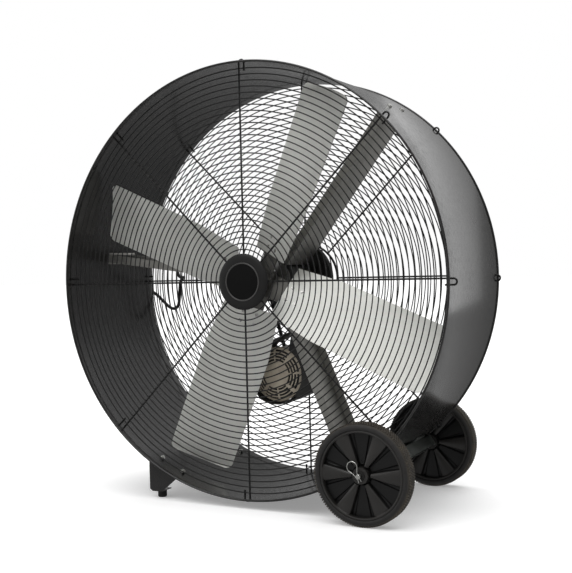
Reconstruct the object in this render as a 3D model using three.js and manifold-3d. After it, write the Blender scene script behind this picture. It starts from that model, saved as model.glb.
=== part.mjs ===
// A wheeled belt-drive drum fan. Millimetres, +Z up, the air blows out of the -Y face.
// The part's origin is on the floor, under the middle of the drum.
import * as THREE from "three";
import { mergeVertices } from "three/addons/utils/BufferGeometryUtils.js";
import Module from "manifold-3d";

const wasm = await Module();
wasm.setup();

// ---- driving dimensions ----
const gap = 0.3; // between pieces that touch
const runningGap = 0.4; // between a turning piece and what guides it

const rimRadius = 565; // outside of the rolled rims
const rimBead = 4; // how far a rolled rim stands out of the wall
const rimBeadLength = 7;
const wallThickness = 1.6;
const drumLength = 408;
const floorClearance = 19.5; // under the lowest point of the rims
const drumSides = 64;

const ringPitch = 15.5;
const ringWire = 1.7; // radius of a guard ring's wire
const outerRingGap = 10.5; // from the wall to the outermost ring
const spokeWire = 2.5; // radius of a guard spoke's wire
const spokeCount = 8;
const weldDepth = 0.5; // how far a ring sinks into the spoke that it is welded to
const frontGuardInset = 30; // from the front rim to the front rings
const rearGuardInset = 14;
const frontInnerRing = 81; // no ring is smaller than this
const rearInnerRing = 97;
const hairpinRadius = 7.5; // bend at a spoke's end, outside the wall
const hairpinReach = 4; // from the wall to the middle of the bend
const hairpinReturn = 22; // length of the leg that comes back in

const badgeRadius = 73;
const badgeThickness = 9;
const badgeDiscRadius = 47;
const badgeBead = 3;

const armAngles = [52, 172.5, 293];
const armFront = -19; // front face of the arms
const armDepth = 124;
const armWidth = 23;
const armSheet = 2.5;
const armTabLength = 34;
const armBoltSpacing = 86;
const armBoltInset = 19; // from an arm's rear edge
const carrierRadius = 60; // round housing in the middle of the arms
const carrierBore = 40;
const carrierLength = 116;
const bearingLength = 26;

const shaftRadius = 12.5;
const shaftFront = -119;
const shaftRear = 152;
const bladeCount = 4;
const bladeAngle = 67; // middle of the first blade's tip, from +X
const bladeTipRadius = 535;
const bladeRootRadius = 58;
const bladeSheet = 2.4;
const bladeTipChord = 180;
const bladeRootChord = 150;
const bladeTipPitch = 21.2;
const bladeRootPitch = 30;
const bladeMiddleY = -83;
const bladeCamber = 9;
const bladeCornerRadius = 16;
const hubRadius = 34;
const hubLength = 62;
const hubArmReach = 132;
const hubArmWidth = 64;
const hubArmSheet = 4;
const hubArmSlope = 28.8; // degrees, between the pitches at the ends of the arm
const bladeTwistRoom = 1.5; // the arms are flat and the blades twist a little over them

const pulleyFront = 126;
const pulleyWidth = 18;
const fanPulleyRadius = 107;
const motorPulleyRadius = 33;
const beltWidth = 10;
const beltThickness = 8;
const pulleyHubRadius = 26;
const smallPulleyHubRadius = 13;
const pulleyHubReach = 6; // in front of the rim
const pulleyRimDepth = 8; // from the groove's floor inwards
const fanPulleySides = 28;
const motorPulleySides = 12;
const beltRoom = 1.2; // between the belt and the bottom of a groove

const motorAlongArm = 237.1; // motor axis, measured along the third arm
const motorBesideArm = 103.2; // and square to it
const motorRadius = 74;
const motorFront = 7;
const motorLength = 100;
const motorBellLength = 16;
const motorBellFlat = 32; // radius of the flat middle of the front bell
const motorSides = 20;
const motorShaftRadius = 8;
const cradleSheet = 3;
const cradleFront = -14;
const cradleDepth = 90;
const cradlePlateY = -7; // front of the plate between the motor and the arm
const cradlePlateEnd = 30; // how far it runs under the motor, from the motor's middle
const cradleTop = 150; // along the arm
const motorPadThickness = 4;
const motorPadWidth = 32;
const motorPadInset = 8; // from the cradle's edges

const wheelRadius = 124;
const wheelWidth = 44;
const wheelMiddleY = 240;
const tyreThickness = 17;
const wheelBossRadius = 20;
const wheelWebThickness = 10;
const wheelSectors = 6;
const wheelLip = 6; // thickness of the rim round the wheel's disc
const wedgeInset = 5; // from a wheel's face down to its raised wedges
const wheelSides = 24;
const axleRadius = 6;
const axleStandoff = 20; // from the drum's wall to the axle's middle
const axleEnd = 275;
const washerRadius = 12;
const washerThickness = 2;
const clipWire = 1.3;
const clipRing = 13;
const clipLean = 30; // degrees, of the spring clips on the axle
const carrierBarWidth = 30;
const carrierBarSheet = 3;
const carrierBarHeight = 30;
const carrierBarEnd = 215;
const bushLength = 34;
const saddleLength = 60;
const saddleWidth = 56;
const saddleY = 120;

const footX = -283;
const footInset = 20; // from a rim to the outer face of a foot
const footBoltAside = 5; // from the middle of a foot to its bolts
const padRadius = 12.5;
const padHeight = 18;
const footSheet = 3;
const footWidth = 46;
const footTopLeft = -308;
const footTopRight = -212;

const boltRadius = 4;
const boltHeadRadius = 7.5;
const boltHeadHeight = 4.5;
const nutHeight = 4;

const boxAngle = 201; // switch box on the wall, from +X
const boxWidth = 76;
const boxLength = 88;
const boxHeight = 30;
const boxMiddleY = 128;
const boxSheet = 3;
const boxEar = 16;
const knobRadius = 15;
const knobHeight = 14;
const leadRadius = 4;
const glandRadius = 8;
const glandLength = 14;

// ---- sizes that follow ----
const wallRadius = rimRadius - rimBead;
const innerRadius = wallRadius - wallThickness;
const axisHeight = rimRadius + floorClearance;
const frontRim = -drumLength / 2;
const rearRim = drumLength / 2;
const flatOfSide = Math.cos(Math.PI / drumSides); // the wall is a many-sided tube
const innerFlat = innerRadius * flatOfSide;
const armRear = armFront + armDepth;
const lastArmBolt = armRear - armBoltInset;
const armBoltY = [lastArmBolt - armBoltSpacing, lastArmBolt];
const degrees = Math.PI / 180;

// ---- helpers ----
function polar(radius, angle) {
  return [radius * Math.cos(angle * degrees), radius * Math.sin(angle * degrees)];
}

function withoutSlivers(index) {
  const kept = [];
  for (let i = 0; i < index.length; i += 3) {
    const [a, b, c] = [index[i], index[i + 1], index[i + 2]];
    if (a !== b && b !== c && c !== a) kept.push(a, b, c);
  }
  return new Uint32Array(kept);
}

function solidFrom(vertProperties, triVerts) {
  return new wasm.Manifold(new wasm.Mesh({ numProp: 3, vertProperties, triVerts }));
}

// A closed three.js geometry as a solid whose faces point out.
function solid(geometry) {
  const bare = geometry.index ? geometry.toNonIndexed() : geometry.clone();
  bare.deleteAttribute("normal");
  bare.deleteAttribute("uv");
  const merged = mergeVertices(bare, 1e-3);
  const corners = merged.attributes.position.array;
  const triangles = withoutSlivers(merged.index.array);
  const made = solidFrom(corners, triangles);
  if (made.volume() > 0) return made;
  for (let i = 0; i < triangles.length; i += 3) {
    [triangles[i + 1], triangles[i + 2]] = [triangles[i + 2], triangles[i + 1]];
  }
  return solidFrom(corners, triangles);
}

function placed(made, matrix) {
  return made.transform(matrix.elements);
}

function geometryOf(made) {
  const mesh = made.getMesh();
  return new THREE.BufferGeometry()
    .setAttribute("position", new THREE.BufferAttribute(mesh.vertProperties, 3))
    .setIndex(new THREE.BufferAttribute(mesh.triVerts, 1));
}

function join(solids) {
  return solids.reduce((whole, next) => whole.add(next));
}

function cut(whole, cutters) {
  return cutters.reduce((left, next) => left.subtract(next), whole);
}

function box(x0, x1, y0, y1, z0, z1) {
  return new THREE.BoxGeometry(x1 - x0, y1 - y0, z1 - z0)
    .translate((x0 + x1) / 2, (y0 + y1) / 2, (z0 + z1) / 2);
}

// A solid of revolution about Y: the outline is a list of [radius, y].
function turned(outline, sides) {
  const points = outline.map(([radius, y]) => new THREE.Vector2(radius, y));
  if (outline[0][0] > 0) points.push(points[0].clone());
  return solid(new THREE.LatheGeometry(points, sides));
}

function pipe(outer, inner, y0, y1, sides) {
  return turned([[inner, y0], [outer, y0], [outer, y1], [inner, y1]], sides);
}

function rod(radius, y0, y1, sides) {
  return turned([[0, y0], [radius, y0], [radius, y1], [0, y1]], sides);
}

function leftTurning(outline) {
  const points = outline.map(([x, z]) => new THREE.Vector2(x, z));
  return THREE.ShapeUtils.isClockWise(points) ? points.reverse() : points;
}

// A flat outline in X and Z, made y0 to y1 thick.
function plateXZ(outline, y0, y1, hole) {
  const shape = new THREE.Shape(leftTurning(outline));
  if (hole) shape.holes.push(new THREE.Path(leftTurning(hole)));
  return new THREE.ExtrudeGeometry(shape, { depth: y1 - y0, bevelEnabled: false })
    .rotateX(Math.PI / 2)
    .translate(0, y1, 0);
}

// A wire's path through points, with a mitre at each bend.
class BentWire extends THREE.Curve {
  constructor(points) {
    super();
    this.points = points;
  }
  getPoint(t) {
    const along = Math.min(t, 1) * (this.points.length - 1);
    const i = Math.min(Math.floor(along), this.points.length - 2);
    return this.points[i].clone().lerp(this.points[i + 1], along - i);
  }
  getPointAt(t) {
    return this.getPoint(t);
  }
  getTangentAt(t) {
    const i = Math.round(t * (this.points.length - 1));
    const [before, here, after] = [-1, 0, 1].map((step) => this.points[i + step]);
    const tangent = new THREE.Vector3();
    if (before) tangent.add(here.clone().sub(before).normalize());
    if (after) tangent.add(after.clone().sub(here).normalize());
    return tangent.normalize();
  }
}

function wire(points, radius, sides) {
  const section = Array.from({ length: sides }, (_, i) => {
    const [x, y] = polar(radius, (i * 360) / sides);
    return new THREE.Vector2(x, y);
  });
  const options = { steps: points.length - 1, bevelEnabled: false };
  options.extrudePath = new BentWire(points);
  return solid(new THREE.ExtrudeGeometry(new THREE.Shape(section), options));
}

// Turns a geometry that is built on the +X side to an angle round the drum's axis.
function aroundAxis(geometry, angle) {
  return geometry.rotateY(-angle * degrees);
}

// A bolt along +X from its head's seat: head outwards, shank and nut inwards.
function bolt(seat, grip) {
  const head = new THREE.CylinderGeometry(boltHeadRadius, boltHeadRadius, boltHeadHeight, 6);
  const shankLength = grip + nutHeight + 3;
  const shank = new THREE.CylinderGeometry(boltRadius, boltRadius, shankLength + 1, 6);
  const nut = new THREE.CylinderGeometry(boltHeadRadius, boltHeadRadius, nutHeight, 6);
  const turnedHead = head.rotateZ(-Math.PI / 2).translate(seat + boltHeadHeight / 2, 0, 0);
  const turnedShank = shank.rotateZ(-Math.PI / 2).translate(seat - shankLength / 2 + 0.5, 0, 0);
  const turnedNut = nut.rotateZ(-Math.PI / 2).translate(seat - grip - nutHeight / 2, 0, 0);
  return join([turnedHead, turnedShank, turnedNut].map(solid));
}

function boltHole(fromRadius, toRadius, y, angle) {
  const radius = boltRadius + 0.6;
  const hole = new THREE.CylinderGeometry(radius, radius, toRadius - fromRadius, 6)
    .rotateZ(-Math.PI / 2)
    .translate((fromRadius + toRadius) / 2, y, 0);
  return solid(aroundAxis(hole, angle));
}

const looks = {
  blackPaint: [0x1b1a19, 0.25, 0.1],
  blackWire: [0x161514, 0.4, 0.3],
  darkPlastic: [0x35332f, 0.5, 0],
  blackPlastic: [0x141414, 0.45, 0],
  galvanised: [0x8d8a82, 0.45, 0.8],
  aluminium: [0xc9cac4, 0.35, 0.9],
  zinc: [0xc4c4c0, 0.3, 0.95],
  castIron: [0x1d1d1c, 0.55, 0.4],
  rubber: [0x1a1918, 0.85, 0],
  motorPaint: [0xa89880, 0.5, 0.2],
  steel: [0x9a9a98, 0.35, 0.9],
};

function part(name, made, look) {
  const [color, roughness, metalness] = looks[look];
  const material = new THREE.MeshStandardMaterial({ color, roughness, metalness });
  const mesh = new THREE.Mesh(geometryOf(made), material);
  mesh.name = name;
  return mesh;
}

// ---- drum ----
const spokeAngles = Array.from({ length: spokeCount }, (_, i) => (i * 360) / spokeCount);
const frontRings = frontRim + frontGuardInset;
const rearRings = rearRim - rearGuardInset;
const ringToSpoke = ringWire + spokeWire - weldDepth;
const frontSpokes = frontRings + ringToSpoke;
const rearSpokes = rearRings - ringToSpoke;

const axleDistance = wallRadius + axleStandoff;
const axleZ = wheelRadius - axisHeight;
const axleX = Math.sqrt(axleDistance ** 2 - axleZ ** 2);
const axleAngle = (Math.atan2(axleZ, axleX) / degrees + 360) % 360;
const footAngles = [239.5, 247];
const footY = rearRim - footInset - footWidth / 2;
const footBoltY = footY - footBoltAside;
const boxBoltY = [-1, 1].map((side) => boxMiddleY + side * (boxLength + boxEar) / 2);

function drumShell() {
  const half = drumLength / 2;
  const beadStart = half - rimBeadLength;
  const side = [
    [innerRadius, half],
    [rimRadius - 1.5, half],
    [rimRadius, half - 2],
    [rimRadius, beadStart + 1],
    [wallRadius, beadStart],
  ];
  const mirrored = side.map(([radius, y]) => [radius, -y]).reverse();
  const shell = turned([...side, ...mirrored], drumSides);
  const slots = [frontSpokes, rearSpokes].flatMap((y) =>
    spokeAngles.map((angle) => {
      const reach = spokeWire + weldDepth + 2 * gap + 0.4;
      const slot = box(innerRadius - 9, rimRadius + 6, y - reach, y + reach,
        -2 * hairpinRadius - reach, reach);
      return solid(aroundAxis(slot, angle));
    }));
  const holes = [
    ...armAngles.flatMap((angle) => armBoltY.map((y) => [y, angle])),
    ...footAngles.flatMap((angle) => [[-footBoltY, angle], [footBoltY, angle]]),
    [-saddleY, axleAngle],
    [saddleY, axleAngle],
    ...boxBoltY.map((y) => [y, boxAngle]),
  ].map(([y, angle]) => boltHole(innerRadius - 9, rimRadius + 5, y, angle));
  return cut(shell, [...slots, ...holes]);
}

// ---- guards ----
function guardRing(radius, y, towardsSpoke) {
  const back = -towardsSpoke * ringWire / 2;
  const half = ringWire * 0.87;
  const sides = radius < 200 ? 12 : radius < 380 ? 16 : 20;
  return turned([
    [radius - half, y + back],
    [radius + half, y + back],
    [radius, y + towardsSpoke * ringWire],
  ], sides);
}

// Out through the wall, round a small bend and back in beside itself.
function guardSpoke(angle, y, startRadius) {
  const steps = 5;
  const bend = Array.from({ length: steps + 1 }, (_, i) => {
    const [out, aside] = polar(hairpinRadius, 90 - (i * 180) / steps);
    return [wallRadius + hairpinReach + out, aside - hairpinRadius];
  });
  const path = [
    [startRadius, 0],
    ...bend,
    [wallRadius + hairpinReach - hairpinReturn, -2 * hairpinRadius],
  ];
  const [cos, sin] = polar(1, angle);
  const points = path.map(([out, aside]) =>
    new THREE.Vector3(out * cos - aside * sin, y, out * sin + aside * cos));
  return wire(points, spokeWire, 4);
}

// The rings are welded to the first spoke, and the other spokes lie a little further back.
function guard(ringsY, towardsSpoke, innerRing, startRadius) {
  const rings = [];
  const outerRing = innerRadius - outerRingGap;
  for (let radius = outerRing; radius >= innerRing; radius -= ringPitch) {
    rings.push(guardRing(radius, ringsY, towardsSpoke));
  }
  const spokes = spokeAngles.map((angle, i) => {
    const back = i === 0 ? 0 : weldDepth + gap;
    const y = ringsY + towardsSpoke * (ringToSpoke + back);
    return guardSpoke(angle, y, startRadius);
  });
  return join([...rings, ...spokes]);
}

function frontGuard() {
  const centre = rod(9, frontSpokes - spokeWire, frontSpokes + spokeWire + 1, 12);
  return join([guard(frontRings, 1, frontInnerRing, 4), centre]);
}

function rearGuard() {
  const outerRing = innerRadius - outerRingGap;
  const last = outerRing - Math.floor((outerRing - rearInnerRing) / ringPitch) * ringPitch;
  const band = pipe(last + 3, last - 3, rearSpokes - spokeWire - 1, rearRings, 24);
  return join([guard(rearRings, -1, rearInnerRing, last), band]);
}

function guardBadge() {
  const back = frontSpokes - spokeWire - gap;
  const face = back - badgeThickness;
  return turned([
    [0, back],
    [badgeRadius - 4, back],
    [badgeRadius, back - 3],
    [badgeRadius - 6, face + 1.5],
    [badgeDiscRadius + badgeBead, face],
    [badgeDiscRadius + badgeBead / 2, face - 1.5],
    [badgeDiscRadius, face + 0.5],
    [0, face + 0.5],
  ], 24);
}

// ---- arms and shaft ----
const armInner = carrierRadius + gap;
const armOuter = innerFlat - gap;

// On the +X side.
function spiderArm() {
  const side = -armWidth / 2;
  const web = box(armInner, armOuter, armFront, armRear, side, side + armSheet);
  const front = box(armInner, armOuter, armFront, armFront + armSheet, side, -side);
  const rear = box(armInner, armOuter, armRear - armSheet, armRear, side, -side);
  const tab = box(armOuter - armSheet, armOuter, armFront, armRear,
    -armTabLength / 2, armTabLength / 2);
  const foot = box(armInner, armInner + armSheet, armFront, armRear, side, -side);
  const holes = armBoltY.map((y) => boltHole(armOuter - 12, armOuter + 9, y, 0));
  return cut(join([web, front, rear, tab, foot].map(solid)), holes);
}

const carrierFront = (armFront + armRear - carrierLength) / 2;
const carrierRear = carrierFront + carrierLength;
const carrierSides = 16;

function bearingCarrier() {
  return pipe(carrierRadius, carrierBore, carrierFront, carrierRear, carrierSides);
}

// A bearing pressed into the carrier's end, with a flange over its face.
function bearing(atRear) {
  const direction = atRear ? 1 : -1;
  const face = atRear ? carrierRear : carrierFront;
  const bore = shaftRadius + runningGap;
  return turned([
    [bore, face - direction * bearingLength],
    [carrierBore - gap, face - direction * bearingLength],
    [carrierBore - gap, face + direction * gap],
    [carrierRadius - 6, face + direction * gap],
    [carrierRadius - 6, face + direction * 5],
    [bore, face + direction * 7],
  ], carrierSides);
}

function bladeShape(along, across) {
  const radius = bladeRootRadius + (bladeTipRadius - bladeRootRadius) * along;
  const widen = Math.min(1, along / 0.3);
  const chord = bladeRootChord + (bladeTipChord - bladeRootChord) * widen;
  const pitch = (bladeRootPitch + (bladeTipPitch - bladeRootPitch) * along) * degrees;
  const fromTip = bladeTipRadius - radius;
  const round = Math.max(0, bladeCornerRadius - fromTip);
  const trim = bladeCornerRadius - Math.sqrt(bladeCornerRadius ** 2 - round ** 2);
  const half = chord / 2 - trim;
  const c = across * half;
  const camber = bladeCamber * along * (1 - across ** 2);
  const t = c * Math.cos(pitch) - camber * Math.sin(pitch);
  const y = c * Math.sin(pitch) + camber * Math.cos(pitch);
  const bow = Math.sqrt(Math.max(radius ** 2 - t ** 2, 0));
  const reach = radius > 4 * bladeRootRadius ? bow : radius;
  return { reach, t, y: y + bladeMiddleY, pitch };
}

// A twisted sheet from the hub to the tip, on the +X side.
function bladeSheetGeometry() {
  const spans = [0, 0.16, 0.3, 0.5, 0.7, 0.88, 0.967, 0.985, 1];
  const geometry = new THREE.BoxGeometry(2, 2, spans.length - 1, 4, 1, spans.length - 1);
  const position = geometry.attributes.position;
  for (let i = 0; i < position.count; i += 1) {
    const row = Math.round(position.getZ(i) + (spans.length - 1) / 2);
    const at = bladeShape(spans[row], position.getX(i));
    const lift = (position.getY(i) * bladeSheet) / 2;
    position.setXYZ(i, at.reach, at.y + lift * Math.cos(at.pitch), at.t - lift * Math.sin(at.pitch));
  }
  return geometry;
}

function blade(angle) {
  return solid(aroundAxis(bladeSheetGeometry(), angle));
}

// The hub's flat arms lie behind the blades' roots, at the blades' own slope.
function fanHub() {
  const bore = shaftRadius + gap;
  const rear = bladeMiddleY + hubLength / 2;
  const boss = pipe(hubRadius, bore, rear - hubLength, rear, 24);
  const arms = Array.from({ length: bladeCount }, (_, i) => {
    const arm = box(bore + 6, hubArmReach, 0, hubArmSheet, -hubArmWidth / 2, hubArmWidth / 2)
      .translate(0, bladeSheet / 2 + gap + bladeTwistRoom, 0)
      .rotateX(-hubArmSlope * degrees)
      .translate(0, bladeMiddleY, 0);
    return solid(aroundAxis(arm, bladeAngle + (i * 360) / bladeCount));
  });
  return join([boss, ...arms]);
}

// ---- belt drive ----
function armFrame(along, aside, angle) {
  const [cos, sin] = polar(1, angle);
  return [along * cos - aside * sin, along * sin + aside * cos];
}

const [motorX, motorZ] = armFrame(motorAlongArm, -motorBesideArm, armAngles[2]);
const pulleyRear = pulleyFront + pulleyWidth;
const beltFront = (pulleyFront + pulleyRear - beltWidth) / 2;
const beltInset = 1; // the belt's back lies this far below a pulley's edge

function pulley(radius, bore, hub, sides) {
  const groove = radius - beltInset - beltThickness - beltRoom;
  const lip = (pulleyWidth - beltWidth) / 2 - runningGap;
  const rim = Math.max(groove - pulleyRimDepth, hub + 1);
  const [webFront, webRear] = [pulleyFront + pulleyWidth / 3, pulleyRear - pulleyWidth / 3];
  return turned([
    [bore, pulleyFront - pulleyHubReach],
    [hub, pulleyFront - pulleyHubReach],
    [hub, webFront],
    [rim, webFront],
    [rim, pulleyFront],
    [radius, pulleyFront],
    [radius, pulleyFront + lip],
    [groove, pulleyFront + lip],
    [groove, pulleyRear - lip],
    [radius, pulleyRear - lip],
    [radius, pulleyRear],
    [rim, pulleyRear],
    [rim, webRear],
    [hub, webRear],
    [hub, pulleyRear - 1],
    [bore, pulleyRear - 1],
  ], sides);
}

const fanPulley = pulley(fanPulleyRadius, shaftRadius + gap, pulleyHubRadius, fanPulleySides);
const motorPulley = pulley(motorPulleyRadius, motorShaftRadius + gap, smallPulleyHubRadius,
  motorPulleySides);

// The belt's outline round both pulleys, with its back or its inner side at a depth.
function beltOutline(depth) {
  const big = fanPulleyRadius - depth;
  const small = motorPulleyRadius - depth;
  const distance = Math.hypot(motorX, motorZ);
  const line = Math.atan2(motorZ, motorX) / degrees;
  const lean = Math.acos((big - small) / distance) / degrees;
  const bigSteps = 20;
  const smallSteps = 6;
  const outline = [];
  for (let i = 0; i <= bigSteps; i += 1) {
    outline.push(polar(big, line + lean + (i * (360 - 2 * lean)) / bigSteps));
  }
  for (let i = 0; i <= smallSteps; i += 1) {
    const [x, z] = polar(small, line - lean + (i * 2 * lean) / smallSteps);
    outline.push([motorX + x, motorZ + z]);
  }
  return outline;
}

function driveBelt() {
  const back = beltOutline(beltInset);
  const inside = beltOutline(beltInset + beltThickness);
  return solid(plateXZ(back, beltFront, beltFront + beltWidth, inside));
}

// The housing, with the lead's strain relief on its side.
function motorHousing() {
  const rear = motorFront + motorLength;
  const bore = motorShaftRadius + runningGap;
  const can = turned([
    [0, motorFront],
    [motorRadius, motorFront],
    [motorRadius, rear],
    [bore, rear],
    [bore, motorFront + motorLength / 2],
    [0, motorFront + motorLength / 2],
  ], motorSides);
  return join([can, motorGland()]);
}

function motorFrontBell() {
  const back = motorFront - gap;
  return turned([
    [0, back],
    [motorRadius + 1, back],
    [motorRadius + 1, back - 4],
    [motorRadius - 6, back - motorBellLength + 3],
    [motorBellFlat, back - motorBellLength],
    [0, back - motorBellLength],
  ], motorSides);
}

function motorRearBell() {
  const front = motorFront + motorLength + gap;
  const bore = motorShaftRadius + runningGap;
  return turned([
    [bore, front],
    [motorRadius + 1, front],
    [motorRadius + 1, front + 3],
    [motorRadius - 10, front + 9],
    [bore, front + 10],
  ], motorSides);
}

// A sheet band round the motor, flat against the third arm on one side.
function motorCradle() {
  const face = armWidth / 2 + gap;
  const clear = motorRadius + 1 + motorPadThickness + 2 * gap;
  const floor = motorAlongArm + clear;
  const steps = 10;
  function band(grow) {
    const radius = clear + grow;
    const top = cradleTop - grow;
    const last = 180 - Math.acos(radius / (motorAlongArm - top)) / degrees;
    const arc = [];
    for (let i = 1; i <= steps; i += 1) {
      const [along, aside] = polar(radius, (-last * i) / steps);
      arc.push([motorAlongArm + along, -motorBesideArm + aside]);
    }
    const side = -face - (cradleSheet - grow);
    return [
      [top, side],
      [floor + grow, side],
      [floor + grow, -motorBesideArm],
      ...arc,
      [top, -motorBesideArm],
    ].map(([along, aside]) => armFrame(along, aside, armAngles[2]));
  }
  const sleeve = plateXZ(band(cradleSheet), cradleFront, cradleFront + cradleDepth, band(0));
  const corner = [
    [cradleTop + cradleSheet, -face - cradleSheet / 2],
    [floor + cradleSheet / 2, -face - cradleSheet / 2],
    [floor + cradleSheet / 2, cradlePlateEnd - motorBesideArm],
    [motorAlongArm, cradlePlateEnd - motorBesideArm],
  ].map(([along, aside]) => armFrame(along, aside, armAngles[2]));
  const plateRear = cradlePlateY + cradleSheet;
  const plate = solid(plateXZ(corner, cradlePlateY, plateRear));
  const room = new THREE.CylinderGeometry(clear - motorPadThickness / 2,
    clear - motorPadThickness / 2, 4 * cradleSheet, 40);
  room.translate(motorX, cradlePlateY, motorZ);
  return join([solid(sleeve), cut(plate, [solid(room)])]);
}

// A rubber pad between the motor and the cradle's floor.
function motorPad() {
  const from = motorAlongArm + motorRadius + gap;
  const pad = box(from, from + motorPadThickness + 1, motorFront + motorPadInset,
    cradleFront + cradleDepth - motorPadInset, -motorBesideArm, motorPadWidth - motorBesideArm);
  return solid(aroundAxis(pad, armAngles[2]));
}

// ---- wheels ----
function wheelRim() {
  const half = wheelWidth / 2;
  const bore = axleRadius + runningGap;
  const rimOuter = wheelRadius - tyreThickness;
  const web = wheelWebThickness / 2;
  const rim = turned([
    [bore, -half],
    [wheelBossRadius, -half],
    [wheelBossRadius, -web],
    [rimOuter - wheelLip, -web],
    [rimOuter - wheelLip, -half + 2],
    [rimOuter, -half + 2],
    [rimOuter, half - 2],
    [rimOuter - wheelLip, half - 2],
    [rimOuter - wheelLip, web],
    [wheelBossRadius, web],
    [wheelBossRadius, half],
    [bore, half],
  ], wheelSides);
  const wedges = Array.from({ length: wheelSectors }, (_, i) => {
    const turn = (i * 360) / wheelSectors;
    const spread = 90 / wheelSectors;
    const wedgeReach = rimOuter - wheelLip / 2;
    const outline = [
      polar(wheelBossRadius - 2, turn - spread),
      polar(wedgeReach, turn - spread),
      polar(wedgeReach, turn + spread),
      polar(wheelBossRadius - 2, turn + spread),
    ];
    return solid(plateXZ(outline, wedgeInset - half, half - wedgeInset));
  });
  return join([rim, ...wedges]);
}

function tyre() {
  const half = wheelWidth / 2;
  const inner = wheelRadius - tyreThickness + gap;
  return turned([
    [inner, -half + 2],
    [wheelRadius - 14, -half],
    [wheelRadius - 5, -half + 3],
    [wheelRadius, -half + 11],
    [wheelRadius, half - 11],
    [wheelRadius - 5, half - 3],
    [wheelRadius - 14, half],
    [inner, half - 2],
  ], wheelSides);
}

const clipY = axleEnd - 6;

function wheelAxle() {
  const holes = [-clipY, clipY].map((y) => {
    const radius = clipWire + gap;
    const drill = new THREE.CylinderGeometry(radius, radius, 4 * axleRadius, 6);
    drill.rotateX(Math.PI / 2).rotateY(-clipLean * degrees);
    return solid(drill.translate(0, y, 0));
  });
  return cut(rod(axleRadius, -axleEnd, axleEnd, 16), holes);
}

// A spring clip: one leg goes through the axle, the other is bowed round it, and a loop joins them.
function axleClip(y) {
  const beside = axleRadius + clipWire + 2 * gap;
  const loop = Array.from({ length: 10 }, (_, i) => {
    const [across, up] = polar(clipRing, -40 + i * 29);
    return [across - beside / 2, axleRadius + 1.6 * clipRing + up];
  });
  const path = [
    [0, -axleRadius - 7],
    [0, axleRadius + 2],
    ...loop,
    [-beside - 0.5, axleRadius],
    [-beside, 0],
    [-beside + 2, -axleRadius - 1],
    [-beside, -axleRadius - 7],
  ];
  const [cos, sin] = polar(1, clipLean);
  const leaning = path.map(([x, z]) => new THREE.Vector3(x * cos - z * sin, y, x * sin + z * cos));
  return wire(leaning, clipWire, 5);
}

function washer(y) {
  const inner = axleRadius + runningGap;
  return pipe(washerRadius, inner, y - washerThickness / 2, y + washerThickness / 2, 16);
}

// The carrier bar and its saddles are built on the +X side.
const barInner = rimRadius + 2 * gap;

function axleCarrier() {
  const half = carrierBarWidth / 2;
  const end = carrierBarEnd;
  const outer = barInner + carrierBarHeight;
  const web = box(barInner, barInner + carrierBarSheet, -end, end, -half, half);
  const round = 13;
  function flange(z) {
    const shape = new THREE.Shape();
    shape.moveTo(barInner, -end);
    shape.lineTo(outer - round, -end);
    shape.absarc(outer - round, -end + round, round, -Math.PI / 2, 0);
    shape.lineTo(outer, end - round);
    shape.absarc(outer - round, end - round, round, 0, Math.PI / 2);
    shape.lineTo(barInner, end);
    const options = { depth: carrierBarSheet, bevelEnabled: false, curveSegments: 5 };
    return new THREE.ExtrudeGeometry(shape, options).translate(0, 0, z);
  }
  const pieces = [web, flange(-half), flange(half - carrierBarSheet)];
  const holes = [-saddleY, saddleY].map((y) => boltHole(wallRadius - 9, barInner + 9, y, 0));
  return cut(join(pieces.map(solid)), holes);
}

function axleBush(atRear) {
  const half = carrierBarWidth / 2 - carrierBarSheet - gap;
  const middle = (carrierBarEnd - bushLength / 2) * (atRear ? 1 : -1);
  const from = barInner + carrierBarSheet + gap;
  const reach = barInner + carrierBarHeight - 4;
  const block = box(from, reach, middle - bushLength / 2, middle + bushLength / 2, -half, half);
  const bore = rod(axleRadius + gap, middle - bushLength, middle + bushLength, 16);
  const atAxle = new THREE.Matrix4().makeTranslation(axleX, 0, axleZ);
  return solid(aroundAxis(block, axleAngle)).subtract(placed(bore, atAxle));
}

function carrierSaddle(y) {
  const pad = box(wallRadius + gap, barInner - gap, y - saddleLength / 2, y + saddleLength / 2,
    -saddleWidth / 2, saddleWidth / 2);
  return solid(pad).subtract(boltHole(wallRadius - 9, barInner + 9, y, 0));
}

// ---- feet ----
const padTop = padHeight - axisHeight;

function wallHeight(x, radius) {
  return -Math.sqrt(radius ** 2 - x ** 2);
}

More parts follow.
